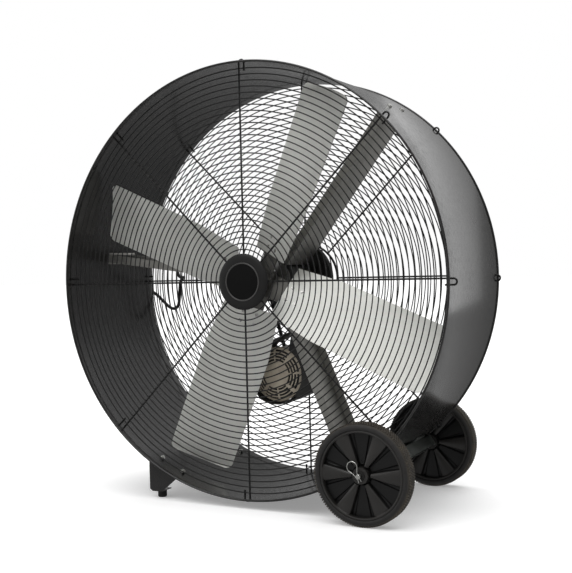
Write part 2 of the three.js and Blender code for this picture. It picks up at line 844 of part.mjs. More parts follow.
// A folded leg: a face plate from the wall to the pad, a side, a flange on the wall and a foot tab.
function footBracket(side) {
  const seat = wallRadius + gap;
  const steps = 6;
  const edge = Array.from({ length: steps + 1 }, (_, i) => {
    const x = footTopLeft + (i * (footTopRight - footTopLeft)) / steps;
    return [x, wallHeight(x, seat)];
  });
  const under = edge.map(([x, z]) => [x, z - footSheet]).reverse();
  const bottom = padTop + gap;
  const left = footX - padRadius - 4;
  const right = footX + padRadius + 2;
  const [near, far] = [footY - footWidth / 2, footY + footWidth / 2];
  const spanY = (from, to) => (side < 0 ? [-to, -from] : [from, to]);
  const face = [...edge, [right, bottom], [left, bottom], [footTopLeft, bottom + 6]];
  const sidePlate = [
    edge[0],
    [footTopLeft + footSheet, wallHeight(footTopLeft + footSheet, seat)],
    [footTopLeft + footSheet, bottom + 6],
    [left + footSheet, bottom],
    [left, bottom],
    [footTopLeft, bottom + 6],
  ];
  const tab = [[left, bottom], [right, bottom], [right, bottom + footSheet],
    [left, bottom + footSheet]];
  const leg = join([
    plateXZ(face, ...spanY(far - footSheet, far)),
    plateXZ([...edge, ...under], ...spanY(near, far)),
    plateXZ(sidePlate, ...spanY(near, far)),
    plateXZ(tab, ...spanY(near, far)),
  ].map(solid));
  const holes = footAngles.map((angle) =>
    boltHole(wallRadius - 9, rimRadius + 12, side * footBoltY, angle));
  return cut(leg, holes);
}

function footPad(side) {
  const pad = new THREE.CylinderGeometry(padRadius, padRadius - 1, padHeight, 20)
    .rotateX(Math.PI / 2)
    .translate(footX, side * footY, padTop - padHeight / 2);
  return solid(pad);
}

// ---- switch box and lead ----
const boxSeat = wallRadius + gap;

// A hollow box on two ears, with the screws that hold it to the wall, on the +X side.
function switchBox() {
  const [from, to] = [boxMiddleY - boxLength / 2, boxMiddleY + boxLength / 2];
  const half = boxWidth / 2;
  const shell = box(boxSeat, boxSeat + boxHeight, from, to, -half, half);
  const ears = box(boxSeat, boxSeat + boxSheet, from - boxEar, to + boxEar, -12, 12);
  const hollow = box(boxSeat - 1, boxSeat + boxHeight - boxSheet, from + boxSheet, to - boxSheet,
    -half + boxSheet, half - boxSheet);
  const stemHole = new THREE.CylinderGeometry(5, 5, 2 * boxHeight, 12)
    .rotateZ(Math.PI / 2)
    .translate(boxSeat + boxHeight, boxMiddleY, 0);
  const holes = boxBoltY.map((y) => boltHole(boxSeat - 9, boxSeat + 12, y, 0));
  const seat = boxSeat + boxSheet - 0.5;
  const screws = boxBoltY.map((y) =>
    placed(bolt(seat, seat - innerFlat + gap), new THREE.Matrix4().makeTranslation(0, y, 0)));
  const [outside, added, inside, drill] = [shell, ears, hollow, stemHole].map(solid);
  return join([cut(join([outside, added]), [inside, drill, ...holes]), ...screws]);
}

const knobSeat = boxSeat + boxHeight;

// A pointer knob on a stem that goes down into the box, on the +X side.
function switchKnob() {
  const stem = new THREE.CylinderGeometry(4.4, 4.4, boxHeight - 6, 10)
    .rotateZ(Math.PI / 2)
    .translate(knobSeat - boxHeight / 2 + 6, boxMiddleY, 0);
  const cap = new THREE.CylinderGeometry(knobRadius, knobRadius + 1, knobHeight / 2, 20)
    .rotateZ(-Math.PI / 2)
    .translate(knobSeat + gap + knobHeight / 4, boxMiddleY, 0);
  const grip = box(knobSeat + 1, knobSeat + knobHeight,
    boxMiddleY - knobRadius + 2, boxMiddleY + knobRadius, -3.5, 3.5);
  return join([stem, cap, grip].map(solid));
}

// A gland along -Z from a flat seat: nut, thread and tapered nose.
function gland() {
  const outline = [
    [0, 0],
    [glandRadius, 0],
    [glandRadius, glandLength / 2],
    [glandRadius - 1.5, glandLength / 2],
    [leadRadius + 1.5, glandLength],
    [0, glandLength],
  ];
  return turned(outline, 12);
}

const leadHeight = boxSeat + boxHeight / 2;
const glandAside = boxWidth / 2 + gap;

// On the box's side, with the box on the +X side.
function boxGland(side) {
  const turn = new THREE.Matrix4().makeTranslation(leadHeight, boxMiddleY, side * glandAside);
  turn.multiply(new THREE.Matrix4().makeRotationX((side * Math.PI) / 2));
  return placed(gland(), turn);
}

const motorGlandAngle = 128;
const motorGlandY = 92;

// On the motor's side, in the motor's own frame.
function motorGland() {
  const turn = new THREE.Matrix4().makeRotationY(-motorGlandAngle * degrees);
  turn.multiply(new THREE.Matrix4().makeTranslation(motorRadius - 1, motorGlandY, 0));
  turn.multiply(new THREE.Matrix4().makeRotationZ(-Math.PI / 2));
  return placed(gland(), turn);
}

// From the switch box up the wall, over the rear rim, in a slack loop to the rear guard's left
// spoke, through the guard, along the left arm and down to the motor.
function leadRoute() {
  const start = glandAside + glandLength + 2 * gap;
  const [boxX, boxZ] = armFrame(leadHeight, -start, boxAngle);
  const [nextX, nextZ] = armFrame(leadHeight, -start - leadRadius, boxAngle);
  const reach = motorRadius + glandLength - 1 + gap;
  const [endX, endZ] = polar(reach, motorGlandAngle);
  const [beforeX, beforeZ] = polar(reach + leadRadius, motorGlandAngle);
  const behindArm = armRear + leadRadius + 3 * gap;
  return [
    [boxX, boxMiddleY, boxZ],
    [nextX, boxMiddleY, nextZ],
    [-562, 129, -140],
    [-562.5, 131, -116],
    [-563.5, 138, -86],
    [-566, 151, -60],
    [-568.5, 168, -42],
    [-569.3, 188, -34],
    [-569.3, 204, -33],
    [-564, 216, -36],
    [-552, 221, -45],
    [-534, 221, -60],
    [-513, 218, -76],
    [-494, 215, -86.5],
    [-477, 213, -87],
    [-466, 212, -77],
    [-461, 211, -58],
    [-458, 210, -34],
    [-454, 208, -12],
    [-447, 206, 3],
    [-437, 203, 8.5],
    [-433, 195, 10],
    [-432.6, 186, 10.5],
    [-432, 176, 12],
    [-428, 161, 18],
    [-419, 143, 31],
    [-407, 125, 43],
    [-391, 114.5, 50],
    [-370, behindArm, 48.7],
    [-325, behindArm, 42.8],
    [-280, behindArm, 36.9],
    [-235, behindArm, 31],
    [-198, behindArm, 26],
    [-168, behindArm, 18],
    [-146, behindArm, 2],
    [-131, behindArm - 1, -24],
    [-119, 106, -56],
    [-110, 102, -92],
    [-102, 98, -124],
    [-90, 94, -150],
    [-75, 92.5, -168],
    [motorX + beforeX, motorGlandY, motorZ + beforeZ],
    [motorX + endX, motorGlandY, motorZ + endZ],
  ].map((place) => new THREE.Vector3(...place));
}

function motorLead() {
  const steps = 70;
  const curve = new THREE.CatmullRomCurve3(leadRoute(), false, "centripetal");
  return wire(curve.getSpacedPoints(steps), leadRadius, 6);
}

// ---- assembly ----
function boltSet(name, seat, grip, places) {
  return places.map(([y, angle], i) => {
    const mesh = part(`${name}_${i + 1}`, bolt(seat, grip), "zinc");
    mesh.position.y = y;
    mesh.rotation.y = -angle * degrees;
    return mesh;
  });
}

const drum = new THREE.Group();
drum.position.z = axisHeight;
drum.add(
  part("drum_shell", drumShell(), "blackPaint"),
  part("front_guard", frontGuard(), "blackWire"),
  part("rear_guard", rearGuard(), "blackWire"),
  part("guard_badge", guardBadge(), "darkPlastic"),
);
armAngles.forEach((angle, i) => {
  const arm = part(`spider_arm_${i + 1}`, spiderArm(), "galvanised");
  arm.rotation.y = -angle * degrees;
  drum.add(arm);
});
drum.add(
  part("bearing_carrier", bearingCarrier(), "castIron"),
  part("front_bearing", bearing(false), "steel"),
  part("rear_bearing", bearing(true), "steel"),
  part("motor_cradle", motorCradle(), "castIron"),
  part("motor_pad", motorPad(), "rubber"),
  part("drive_belt", driveBelt(), "rubber"),
);

const fan = new THREE.Group();
fan.add(
  part("fan_shaft", rod(shaftRadius, shaftFront, shaftRear, 16), "steel"),
  part("fan_hub", fanHub(), "galvanised"),
  part("fan_pulley", fanPulley, "castIron"),
);
for (let i = 0; i < bladeCount; i += 1) {
  fan.add(part(`blade_${i + 1}`, blade(bladeAngle + (i * 360) / bladeCount), "aluminium"));
}

const motor = new THREE.Group();
motor.position.set(motorX, 0, motorZ);
const motorShaftFront = motorFront + motorLength / 2 + 2;
motor.add(
  part("motor_housing", motorHousing(), "motorPaint"),
  part("motor_front_bell", motorFrontBell(), "motorPaint"),
  part("motor_rear_bell", motorRearBell(), "motorPaint"),
  part("motor_shaft", rod(motorShaftRadius, motorShaftFront, pulleyRear + 4, 16), "steel"),
  part("motor_pulley", motorPulley, "castIron"),
);

const undercarriage = new THREE.Group();
undercarriage.position.set(axleX, 0, axleZ);
undercarriage.add(part("wheel_axle", wheelAxle(), "zinc"));
[["front", -1], ["rear", 1]].forEach(([end, side]) => {
  const rim = part(`${end}_wheel_rim`, wheelRim(), "blackPlastic");
  const rubber = part(`${end}_wheel_tyre`, tyre(), "rubber");
  rim.position.y = side * wheelMiddleY;
  rubber.position.y = side * wheelMiddleY;
  const washerY = wheelMiddleY + wheelWidth / 2 + gap + washerThickness / 2;
  undercarriage.add(
    rim,
    rubber,
    part(`${end}_washer`, washer(side * washerY), "blackPlastic"),
    part(`${end}_axle_clip`, axleClip(side * clipY), "zinc"),
  );
  drum.add(
    part(`${end}_axle_bush`, axleBush(side > 0), "blackPlastic"),
    part(`${end}_foot_bracket`, footBracket(side), "blackPaint"),
    part(`${end}_foot_pad`, footPad(side), "rubber"),
  );
});
const carrier = new THREE.Group();
carrier.rotation.y = -axleAngle * degrees;
carrier.add(
  part("axle_carrier", axleCarrier(), "galvanised"),
  part("front_saddle", carrierSaddle(-saddleY), "galvanised"),
  part("rear_saddle", carrierSaddle(saddleY), "galvanised"),
);
drum.add(carrier);

const seats = {
  arm: wallRadius + gap,
  foot: wallRadius + footSheet + 2 * gap,
  carrier: barInner + carrierBarSheet + gap,
};
const armGrip = seats.arm - (armOuter - armSheet - gap);
drum.add(
  ...boltSet("arm_bolt", seats.arm, armGrip,
    armAngles.flatMap((angle) => armBoltY.map((y) => [y, angle]))),
  ...boltSet("foot_bolt", seats.foot, seats.foot - innerFlat + gap,
    footAngles.flatMap((angle) => [[-footBoltY, angle], [footBoltY, angle]])),
  ...boltSet("carrier_bolt", seats.carrier, seats.carrier - innerFlat + gap,
    [[-saddleY, axleAngle], [saddleY, axleAngle]]),
);
const control = new THREE.Group();
control.rotation.y = -boxAngle * degrees;
control.add(
  part("switch_box", switchBox(), "blackPlastic"),
  part("switch_knob", switchKnob(), "blackPlastic"),
  part("lead_gland", boxGland(-1), "blackPlastic"),
  part("mains_gland", boxGland(1), "blackPlastic"),
);
drum.add(part("motor_lead", motorLead(), "rubber"), control, fan, motor, undercarriage);

const drumFan = new THREE.Group();
drumFan.add(drum);

export default drumFan;
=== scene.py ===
import math

import bmesh
import bpy
from mathutils import Matrix, Vector


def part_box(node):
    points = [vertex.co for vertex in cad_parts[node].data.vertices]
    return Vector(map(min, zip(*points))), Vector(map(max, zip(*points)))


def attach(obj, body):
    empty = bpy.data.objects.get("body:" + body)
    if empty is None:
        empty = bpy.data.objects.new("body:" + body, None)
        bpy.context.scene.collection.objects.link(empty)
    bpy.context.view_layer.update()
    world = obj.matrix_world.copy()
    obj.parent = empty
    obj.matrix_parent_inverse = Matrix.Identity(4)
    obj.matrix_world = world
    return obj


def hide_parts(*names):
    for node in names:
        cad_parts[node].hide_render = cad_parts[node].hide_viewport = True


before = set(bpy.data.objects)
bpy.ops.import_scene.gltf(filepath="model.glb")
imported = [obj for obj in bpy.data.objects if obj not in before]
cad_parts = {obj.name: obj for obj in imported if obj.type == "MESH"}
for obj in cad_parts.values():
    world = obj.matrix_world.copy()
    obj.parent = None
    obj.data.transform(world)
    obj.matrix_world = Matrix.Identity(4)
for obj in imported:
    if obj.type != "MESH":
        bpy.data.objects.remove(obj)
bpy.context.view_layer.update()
print("frame loaded:", len(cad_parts), "nodes")

mm = 0.001
drumLow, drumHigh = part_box("drum_shell")
axisZ = (drumLow.z + drumHigh.z) / 2
rimRadius = (drumHigh.x - drumLow.x) / 2
rimY = drumHigh.y
wallRadius = rimRadius - 4 * mm
innerRadius = wallRadius - 1.6 * mm


def polar(radius, degrees):
    return radius * math.cos(math.radians(degrees)), radius * math.sin(math.radians(degrees))


def addNode(tree, kind, inputs=None, **settings):
    node = tree.nodes.new(kind)
    for key, value in settings.items():
        setattr(node, key, value)
    for key, value in (inputs or {}).items():
        socket = node.inputs[key]
        if isinstance(value, bpy.types.NodeSocket):
            tree.links.new(value, socket)
        else:
            socket.default_value = value
    return node


def mathNode(tree, operation, first, second):
    return addNode(tree, "ShaderNodeMath", {0: first, 1: second}, operation=operation).outputs[0]


# Camera and light
camera = {
    "at": (1.3215, -2.430, 0.6275),
    "forward": (-0.46889, 0.88297, -0.02216),
    "up": (0.01226, 0.03159, 0.99942),
    "focalPixels": 1010,
    "photoHeight": 573,
    "sensor": 36.0,
}


def makeCamera():
    data = bpy.data.cameras.new("camera")
    data.sensor_width = camera["sensor"]
    data.lens = camera["focalPixels"] * camera["sensor"] / camera["photoHeight"]
    forward = Vector(camera["forward"]).normalized()
    right = forward.cross(Vector(camera["up"])).normalized()
    upward = right.cross(forward)
    turn = Matrix((right, upward, -forward)).transposed().to_4x4()
    holder = bpy.data.objects.new("camera", data)
    holder.matrix_world = Matrix.Translation(camera["at"]) @ turn
    bpy.context.scene.collection.objects.link(holder)
    bpy.context.scene.camera = holder


studio = {
    "roomLight": 0.35,
    "backgroundLight": 1.0,
    "softboxes": [  # place, aimed at, width, height, watts
        ((-0.4, -2.8, 2.9), (0, 0, 0.6), 2.6, 1.8, 24),
        ((-3.5, -1.2, 1.2), (0, 0, 0.6), 2.0, 2.4, 18),
        ((0.75, 4.5, 1.9), (0.3, 0, 0.7), 3.2, 4.0, 24),
    ],
    "overhead": {"turn": (0, 0, 0), "angle": 70, "strength": 2.4},
    "floorSize": 60.0,
}


def makeLight():
    world = bpy.data.worlds.new("studio")
    world.use_nodes = True
    tree = world.node_tree
    room = tree.nodes["Background"]
    room.inputs["Strength"].default_value = studio["roomLight"]
    room.inputs["Color"].default_value = (1, 1, 1, 1)
    whiteInputs = {"Color": (1, 1, 1, 1), "Strength": studio["backgroundLight"]}
    white = addNode(tree, "ShaderNodeBackground", whiteInputs)
    seen = addNode(tree, "ShaderNodeLightPath").outputs["Is Camera Ray"]
    mixed = addNode(tree, "ShaderNodeMixShader", {0: seen, 1: room.outputs[0], 2: white.outputs[0]})
    tree.links.new(mixed.outputs[0], tree.nodes["World Output"].inputs[0])
    bpy.context.scene.world = world
    for i, (place, target, width, height, watts) in enumerate(studio["softboxes"]):
        data = bpy.data.lights.new(f"softbox{i + 1}", "AREA")
        data.shape = "RECTANGLE"
        data.size = width
        data.size_y = height
        data.energy = watts
        lamp = bpy.data.objects.new(f"softbox{i + 1}", data)
        lamp.location = place
        aim = Vector(target) - Vector(place)
        lamp.rotation_euler = aim.to_track_quat("-Z", "Y").to_euler()
        lamp.visible_camera = False
        bpy.context.scene.collection.objects.link(lamp)
    overhead = studio["overhead"]
    data = bpy.data.lights.new("overhead", "SUN")
    data.angle = math.radians(overhead["angle"])
    data.energy = overhead["strength"]
    lamp = bpy.data.objects.new("overhead", data)
    lamp.location = (0, 0, 4)
    lamp.rotation_euler = [math.radians(turn) for turn in overhead["turn"]]
    bpy.context.scene.collection.objects.link(lamp)
    bpy.context.scene.view_settings.view_transform = "Standard"


# Materials
def startMaterial(name, color, roughness, metallic=0.0):
    material = bpy.data.materials.new(name)
    material.use_nodes = True
    shader = material.node_tree.nodes["Principled BSDF"]
    shader.inputs["Base Color"].default_value = (*color, 1)
    shader.inputs["Roughness"].default_value = roughness
    shader.inputs["Metallic"].default_value = metallic
    material.diffuse_color = (*color, 1)
    return material, material.node_tree, shader


def patternPlace(tree, scale=(1, 1, 1), coordinates="Object"):
    source = addNode(tree, "ShaderNodeTexCoord").outputs[coordinates]
    return addNode(tree, "ShaderNodeMapping", {"Vector": source, "Scale": scale}).outputs[0]


def noise(tree, place, scale, detail=3.0, roughness=0.5):
    inputs = {"Vector": place, "Scale": scale, "Detail": detail, "Roughness": roughness}
    return addNode(tree, "ShaderNodeTexNoise", inputs).outputs["Fac"]


def ramp(tree, value, low, high, fromLow=0.3, fromHigh=0.7):
    inputs = {"Value": value, "From Min": fromLow, "From Max": fromHigh, "To Min": low, "To Max": high}
    return addNode(tree, "ShaderNodeMapRange", inputs).outputs[0]


def mixColors(tree, factor, first, second):
    node = addNode(tree, "ShaderNodeMix", data_type="RGBA")
    tree.links.new(factor, node.inputs[0])
    for socket, value in ((node.inputs[6], first), (node.inputs[7], second)):
        if isinstance(value, bpy.types.NodeSocket):
            tree.links.new(value, socket)
        else:
            socket.default_value = (*value, 1)
    return node.outputs[2]


def bump(tree, shader, height, distance, strength=1.0):
    inputs = {"Height": height, "Distance": distance, "Strength": strength}
    tree.links.new(addNode(tree, "ShaderNodeBump", inputs).outputs[0], shader.inputs["Normal"])


def addTogether(tree, first, second, share):
    return addNode(tree, "ShaderNodeMath", {0: second, 1: share, 2: first},
                   operation="MULTIPLY_ADD").outputs[0]


def drumPaint():
    # gloss powder coat with a fine orange peel and faint dashes along the rolling direction
    values = {"dark": (0.007, 0.0067, 0.0065), "light": (0.017, 0.0163, 0.0155), "roughness": (0.14, 0.2),
              "peel": 420, "clouds": 5.0, "dashes": (60, 300, 1), "dashDullness": 0.09}
    material, tree, shader = startMaterial("drumPaint", values["dark"], 0.17)
    dashes = noise(tree, patternPlace(tree, values["dashes"], "UV"), 1.0, 1.0)
    peel = noise(tree, patternPlace(tree), values["peel"], 2.0)
    clouds = noise(tree, patternPlace(tree), values["clouds"], 4.0)
    tree.links.new(mixColors(tree, ramp(tree, dashes, 0, 1), values["dark"], values["light"]),
                   shader.inputs["Base Color"])
    rough = addTogether(tree, ramp(tree, clouds, *values["roughness"]), ramp(tree, dashes, 0, 1, 0.45, 0.65),
                        values["dashDullness"])
    tree.links.new(rough, shader.inputs["Roughness"])
    bump(tree, shader, addTogether(tree, peel, dashes, 0.7), 0.00004, 0.35)
    return material


def wireCoat():
    values = {"dark": (0.006, 0.006, 0.006), "light": (0.013, 0.0125, 0.012), "grain": 900,
              "patches": 22.0, "roughness": (0.32, 0.46)}
    material, tree, shader = startMaterial("wireCoat", values["dark"], 0.4)
    grain = noise(tree, patternPlace(tree), values["grain"], 2.0)
    patches = noise(tree, patternPlace(tree), values["patches"], 3.0)
    tree.links.new(mixColors(tree, ramp(tree, patches, 0, 1), values["dark"], values["light"]),
                   shader.inputs["Base Color"])
    tree.links.new(ramp(tree, patches, *values["roughness"]), shader.inputs["Roughness"])
    shader.inputs["Specular IOR Level"].default_value = 0.35
    bump(tree, shader, grain, 0.00008, 0.4)
    return material


def galvanisedSheet(name, dark, light):
    values = {"spangle": 75, "dust": 9.0, "grain": 350.0, "roughness": (0.36, 0.52)}
    material, tree, shader = startMaterial(name, light, 0.42, 0.85)
    place = patternPlace(tree)
    cells = addNode(tree, "ShaderNodeTexVoronoi", {"Vector": place, "Scale": values["spangle"]})
    tone = addNode(tree, "ShaderNodeSeparateColor", {0: cells.outputs["Color"]}).outputs[0]
    dust = noise(tree, place, values["dust"], 4.0)
    tree.links.new(mixColors(tree, addTogether(tree, ramp(tree, dust, 0, 0.5), tone, 0.45), dark, light),
                   shader.inputs["Base Color"])
    tree.links.new(ramp(tree, tone, *values["roughness"], 0, 1), shader.inputs["Roughness"])
    bump(tree, shader, addTogether(tree, noise(tree, place, values["grain"], 2.0), tone, 0.2), 0.00006, 0.35)
    return material


def bladeSheet():
    # bright rolled sheet: faint streaks along the rolling direction, smudges and fine spangle
    values = {"dark": (0.66, 0.66, 0.62), "light": (0.84, 0.84, 0.8), "streaks": (9, 9, 160),
              "smudges": 6.5, "spangle": 120.0, "grain": 400.0, "roughness": (0.3, 0.44)}
    material, tree, shader = startMaterial("bladeSheet", values["light"], 0.4, 0.55)
    streaks = noise(tree, patternPlace(tree, values["streaks"]), 1.0, 3.0)
    place = patternPlace(tree)
    smudges = noise(tree, place, values["smudges"], 4.0, 0.6)
    cells = addNode(tree, "ShaderNodeTexVoronoi", {"Vector": place, "Scale": values["spangle"]})
    tone = addNode(tree, "ShaderNodeSeparateColor", {0: cells.outputs["Color"]}).outputs[0]
    mixed = addTogether(tree, ramp(tree, smudges, 0, 0.7), addTogether(tree, streaks, tone, 0.35), 0.3)
    tree.links.new(mixColors(tree, mixed, values["dark"], values["light"]), shader.inputs["Base Color"])
    tree.links.new(ramp(tree, smudges, *values["roughness"]), shader.inputs["Roughness"])
    grain = noise(tree, place, values["grain"], 2.0)
    bump(tree, shader, addTogether(tree, streaks, grain, 0.4), 0.00005, 0.3)
    return material


def tanEnamel():
    values = {"clean": (0.42, 0.37, 0.29), "dusty": (0.28, 0.24, 0.19), "dust": 26.0, "grain": 500.0,
              "roughness": (0.34, 0.55)}
    material, tree, shader = startMaterial("tanEnamel", values["clean"], 0.42)
    place = patternPlace(tree)
    dust = noise(tree, place, values["dust"], 5.0, 0.6)
    tree.links.new(mixColors(tree, ramp(tree, dust, 0, 1, 0.42, 0.72), values["clean"], values["dusty"]),
                   shader.inputs["Base Color"])
    tree.links.new(ramp(tree, dust, *values["roughness"]), shader.inputs["Roughness"])
    bump(tree, shader, noise(tree, place, values["grain"], 2.0), 0.00008, 0.4)
    return material


def metalFinish(name, color, roughness, grain):
    material, tree, shader = startMaterial(name, color, roughness, 1.0)
    place = patternPlace(tree)
    patches = noise(tree, place, 40.0, 4.0)
    darker = tuple(part * 0.72 for part in color)
    tree.links.new(mixColors(tree, ramp(tree, patches, 0, 1), darker, color), shader.inputs["Base Color"])
    tree.links.new(ramp(tree, patches, roughness * 0.8, roughness * 1.25), shader.inputs["Roughness"])
    bump(tree, shader, noise(tree, place, grain, 2.0), 0.00005, 0.35)
    return material


def castFinish():
    values = {"plain": (0.02, 0.02, 0.02), "dark": (0.012, 0.012, 0.012), "light": (0.032, 0.031, 0.029),
              "grain": 260.0, "wear": 18.0, "roughness": (0.42, 0.6)}
    material, tree, shader = startMaterial("castFinish", values["plain"], 0.5, 0.25)
    place = patternPlace(tree)
    grain = noise(tree, place, values["grain"], 3.0)
    wear = noise(tree, place, values["wear"], 4.0)
    tree.links.new(mixColors(tree, ramp(tree, wear, 0, 1), values["dark"], values["light"]),
                   shader.inputs["Base Color"])
    tree.links.new(ramp(tree, grain, *values["roughness"]), shader.inputs["Roughness"])
    bump(tree, shader, grain, 0.0003, 0.4)
    return material


def mouldedPlastic(name, dark, light, roughness, grainSize=700.0, depth=0.0001, shine=0.3):
    material, tree, shader = startMaterial(name, dark, roughness)
    shader.inputs["Specular IOR Level"].default_value = shine
    place = patternPlace(tree)
    grain = addNode(tree, "ShaderNodeTexVoronoi", {"Vector": place, "Scale": grainSize}).outputs[0]
    patches = noise(tree, place, 14.0, 4.0)
    tree.links.new(mixColors(tree, ramp(tree, patches, 0, 1), dark, light), shader.inputs["Base Color"])
    tree.links.new(ramp(tree, patches, roughness - 0.07, roughness + 0.08), shader.inputs["Roughness"])
    bump(tree, shader, grain, depth, 0.35)
    return material


def wheelPlastic():
    # black moulding with painted shade by depth: near black down in the grooves and recesses, greyer on the
    # raised wedges and the lip, a little varied by patches
    values = {"deep": (0.0035, 0.0034, 0.0033), "raised": (0.021, 0.0195, 0.018), "patches": 20.0,
              "grain": 650.0, "roughness": (0.33, 0.48)}
    material, tree, shader = startMaterial("wheelPlastic", values["deep"], 0.4)
    shader.inputs["Specular IOR Level"].default_value = 0.4
    place = patternPlace(tree)
    patches = noise(tree, place, values["patches"], 4.0)
    grain = addNode(tree, "ShaderNodeTexVoronoi", {"Vector": place, "Scale": values["grain"]}).outputs[0]
    # the raised attribute sets the painted shade: dark where the face lies deep, lighter where it stands out
    raised = addNode(tree, "ShaderNodeAttribute", attribute_name="raised").outputs["Fac"]
    share = mathNode(tree, "MULTIPLY", ramp(tree, patches, 0.7, 1), raised)
    tree.links.new(mixColors(tree, share, values["deep"], values["raised"]), shader.inputs["Base Color"])
    tree.links.new(ramp(tree, patches, *values["roughness"]), shader.inputs["Roughness"])
    bump(tree, shader, grain, 0.0001, 0.35)
    return material


def treadRubber():
    # dusty brown where the tread is worn, black on the sidewalls
    values = {"black": (0.012, 0.011, 0.0105), "dusty": (0.075, 0.062, 0.045), "dust": 60.0,
              "grain": 450.0, "roughness": (0.62, 0.85)}
    material, tree, shader = startMaterial("treadRubber", values["black"], 0.72)
    place = patternPlace(tree)
    dust = noise(tree, place, values["dust"], 5.0, 0.65)
    worn = addNode(tree, "ShaderNodeAttribute", attribute_name="worn").outputs["Fac"]
    share = mathNode(tree, "MULTIPLY", ramp(tree, dust, 0.15, 1), worn)
    tree.links.new(mixColors(tree, share, values["black"], values["dusty"]), shader.inputs["Base Color"])
    tree.links.new(ramp(tree, dust, *values["roughness"]), shader.inputs["Roughness"])
    bump(tree, shader, noise(tree, place, values["grain"], 3.0), 0.0002, 0.5)
    return material


def floorPaint():
    values = {"dark": (0.93, 0.93, 0.93), "light": (0.95, 0.95, 0.95), "glow": 0.25}
    material, tree, shader = startMaterial("floorPaint", values["dark"], 0.75)
    shader.inputs["Emission Color"].default_value = (1, 1, 1, 1)
    shader.inputs["Emission Strength"].default_value = values["glow"]
    clouds = noise(tree, patternPlace(tree), 1.5, 3.0)
    tree.links.new(mixColors(tree, clouds, values["dark"], values["light"]), shader.inputs["Base Color"])
    return material


finishes = {
    "drumPaint": drumPaint(),
    "wireCoat": wireCoat(),
    "armSheet": galvanisedSheet("armSheet", (0.3, 0.295, 0.275), (0.5, 0.49, 0.46)),
    "hubSheet": galvanisedSheet("hubSheet", (0.11, 0.107, 0.1), (0.21, 0.205, 0.19)),
    # a darker copy of the galvanised sheet for the axle carrier and saddles under the drum: painted shade
    "bracketSheetPaintedShade": galvanisedSheet("bracketSheetPaintedShade", (0.1, 0.108, 0.102), (0.2, 0.212, 0.2)),
    "bladeSheet": bladeSheet(),
    "motorEnamel": tanEnamel(),
    "boltZinc": metalFinish("boltZinc", (0.72, 0.72, 0.69), 0.26, 600.0),
    "shaftSteel": metalFinish("shaftSteel", (0.42, 0.42, 0.41), 0.32, 800.0),
    "casting": castFinish(),
    "blackPlastic": mouldedPlastic("blackPlastic", (0.006, 0.0058, 0.0056), (0.011, 0.0105, 0.01), 0.42),
    "wheelPlastic": wheelPlastic(),
    "badgePlastic": mouldedPlastic("badgePlastic", (0.006, 0.0058, 0.0056), (0.0085, 0.0083, 0.008), 0.5),
    # lighter grey with a strong shine for the ring round the badge's disc: a painted highlight
    "badgeBeadPaintedHighlight": mouldedPlastic("badgeBeadPaintedHighlight", (0.03, 0.029, 0.028), (0.045, 0.044, 0.042), 0.34,
                                700.0, 0.00005, 0.6),
    "badgeGloss": mouldedPlastic("badgeGloss", (0.002, 0.002, 0.002), (0.003, 0.003, 0.003), 0.32,
                                 900.0, 0.00003, 0.15),
    "rubber": mouldedPlastic("rubber", (0.008, 0.0077, 0.0074), (0.015, 0.0145, 0.014), 0.68, 500.0, 0.00015),
    "leadJacket": mouldedPlastic("leadJacket", (0.009, 0.009, 0.009), (0.014, 0.014, 0.014), 0.42, 800.0),
    "treadRubber": treadRubber(),
    "floorPaint": floorPaint(),
}
print("finishes made:", len(finishes))


# Helpers for pieces and meshes
def newPiece(name, mesh):
    piece = bpy.data.objects.new(name, mesh)
    bpy.context.scene.collection.objects.link(piece)
    return piece


def smoothMesh(mesh, degrees=32):
    mesh.shade_smooth()
    mesh.set_sharp_from_angle(angle=math.radians(degrees))


def finishPiece(piece, finish, body, slotName, *nodes):
    piece.data.materials.clear()
    piece.data.materials.append(finishes[finish])
    for face in piece.data.polygons:
        face.material_index = 0
    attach(piece, body)
    if nodes:
        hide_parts(*nodes)
    return piece


def meshFrom(shape, name, degrees=None):
    mesh = bpy.data.meshes.new(name)
    shape.to_mesh(mesh)
    shape.free()
    if degrees:
        smoothMesh(mesh, degrees)
    return mesh


# A closed outline of (radius, y) points, or one that starts and ends on the axis, turned about Y.
def turnedMesh(name, outline, centre=(0.0, None), segments=96):
    x0, z0 = centre[0], axisZ if centre[1] is None else centre[1]
    onAxis = outline[0][0] < 1e-7
    shape = bmesh.new()
    uvLayer = shape.loops.layers.uv.new("UVMap")
    rows, along, travelled = [], [], 0.0
    for i, (radius, y) in enumerate(outline):
        if i:
            travelled += math.hypot(radius - outline[i - 1][0], y - outline[i - 1][1])
        along.append(travelled)
        if radius < 1e-7:
            rows.append([shape.verts.new((x0, y, z0))] * segments)
            continue
        ring = []
        for k in range(segments):
            x, z = polar(radius, 360 * k / segments)
            ring.append(shape.verts.new((x0 + x, y, z0 + z)))
        rows.append(ring)
    pairs = list(zip(range(len(outline) - 1), range(1, len(outline))))
    if not onAxis:
        pairs.append((len(outline) - 1, 0))
    widest = max(radius for radius, y in outline)
    for a, b in pairs:
        for k in range(segments):
            n = (k + 1) % segments
            corners = [(rows[a][k], k, a), (rows[a][n], k + 1, a), (rows[b][n], k + 1, b), (rows[b][k], k, b)]
            kept = []
            for corner in corners:
                if all(corner[0] is not other[0] for other in kept):
                    kept.append(corner)
            face = shape.faces.new([corner[0] for corner in kept])
            for loop, (_, turn, row) in zip(face.loops, kept):
                loop[uvLayer].uv = (2 * math.pi * widest * turn / segments, along[row])
    bmesh.ops.recalc_face_normals(shape, faces=shape.faces)
    return meshFrom(shape, name, 32)


def arcPoints(centre, radius, start, end, steps):
    points = []
    for i in range(steps + 1):
        a, b = polar(radius, start + (end - start) * i / steps)
        points.append((centre[0] + a, centre[1] + b))
    return points


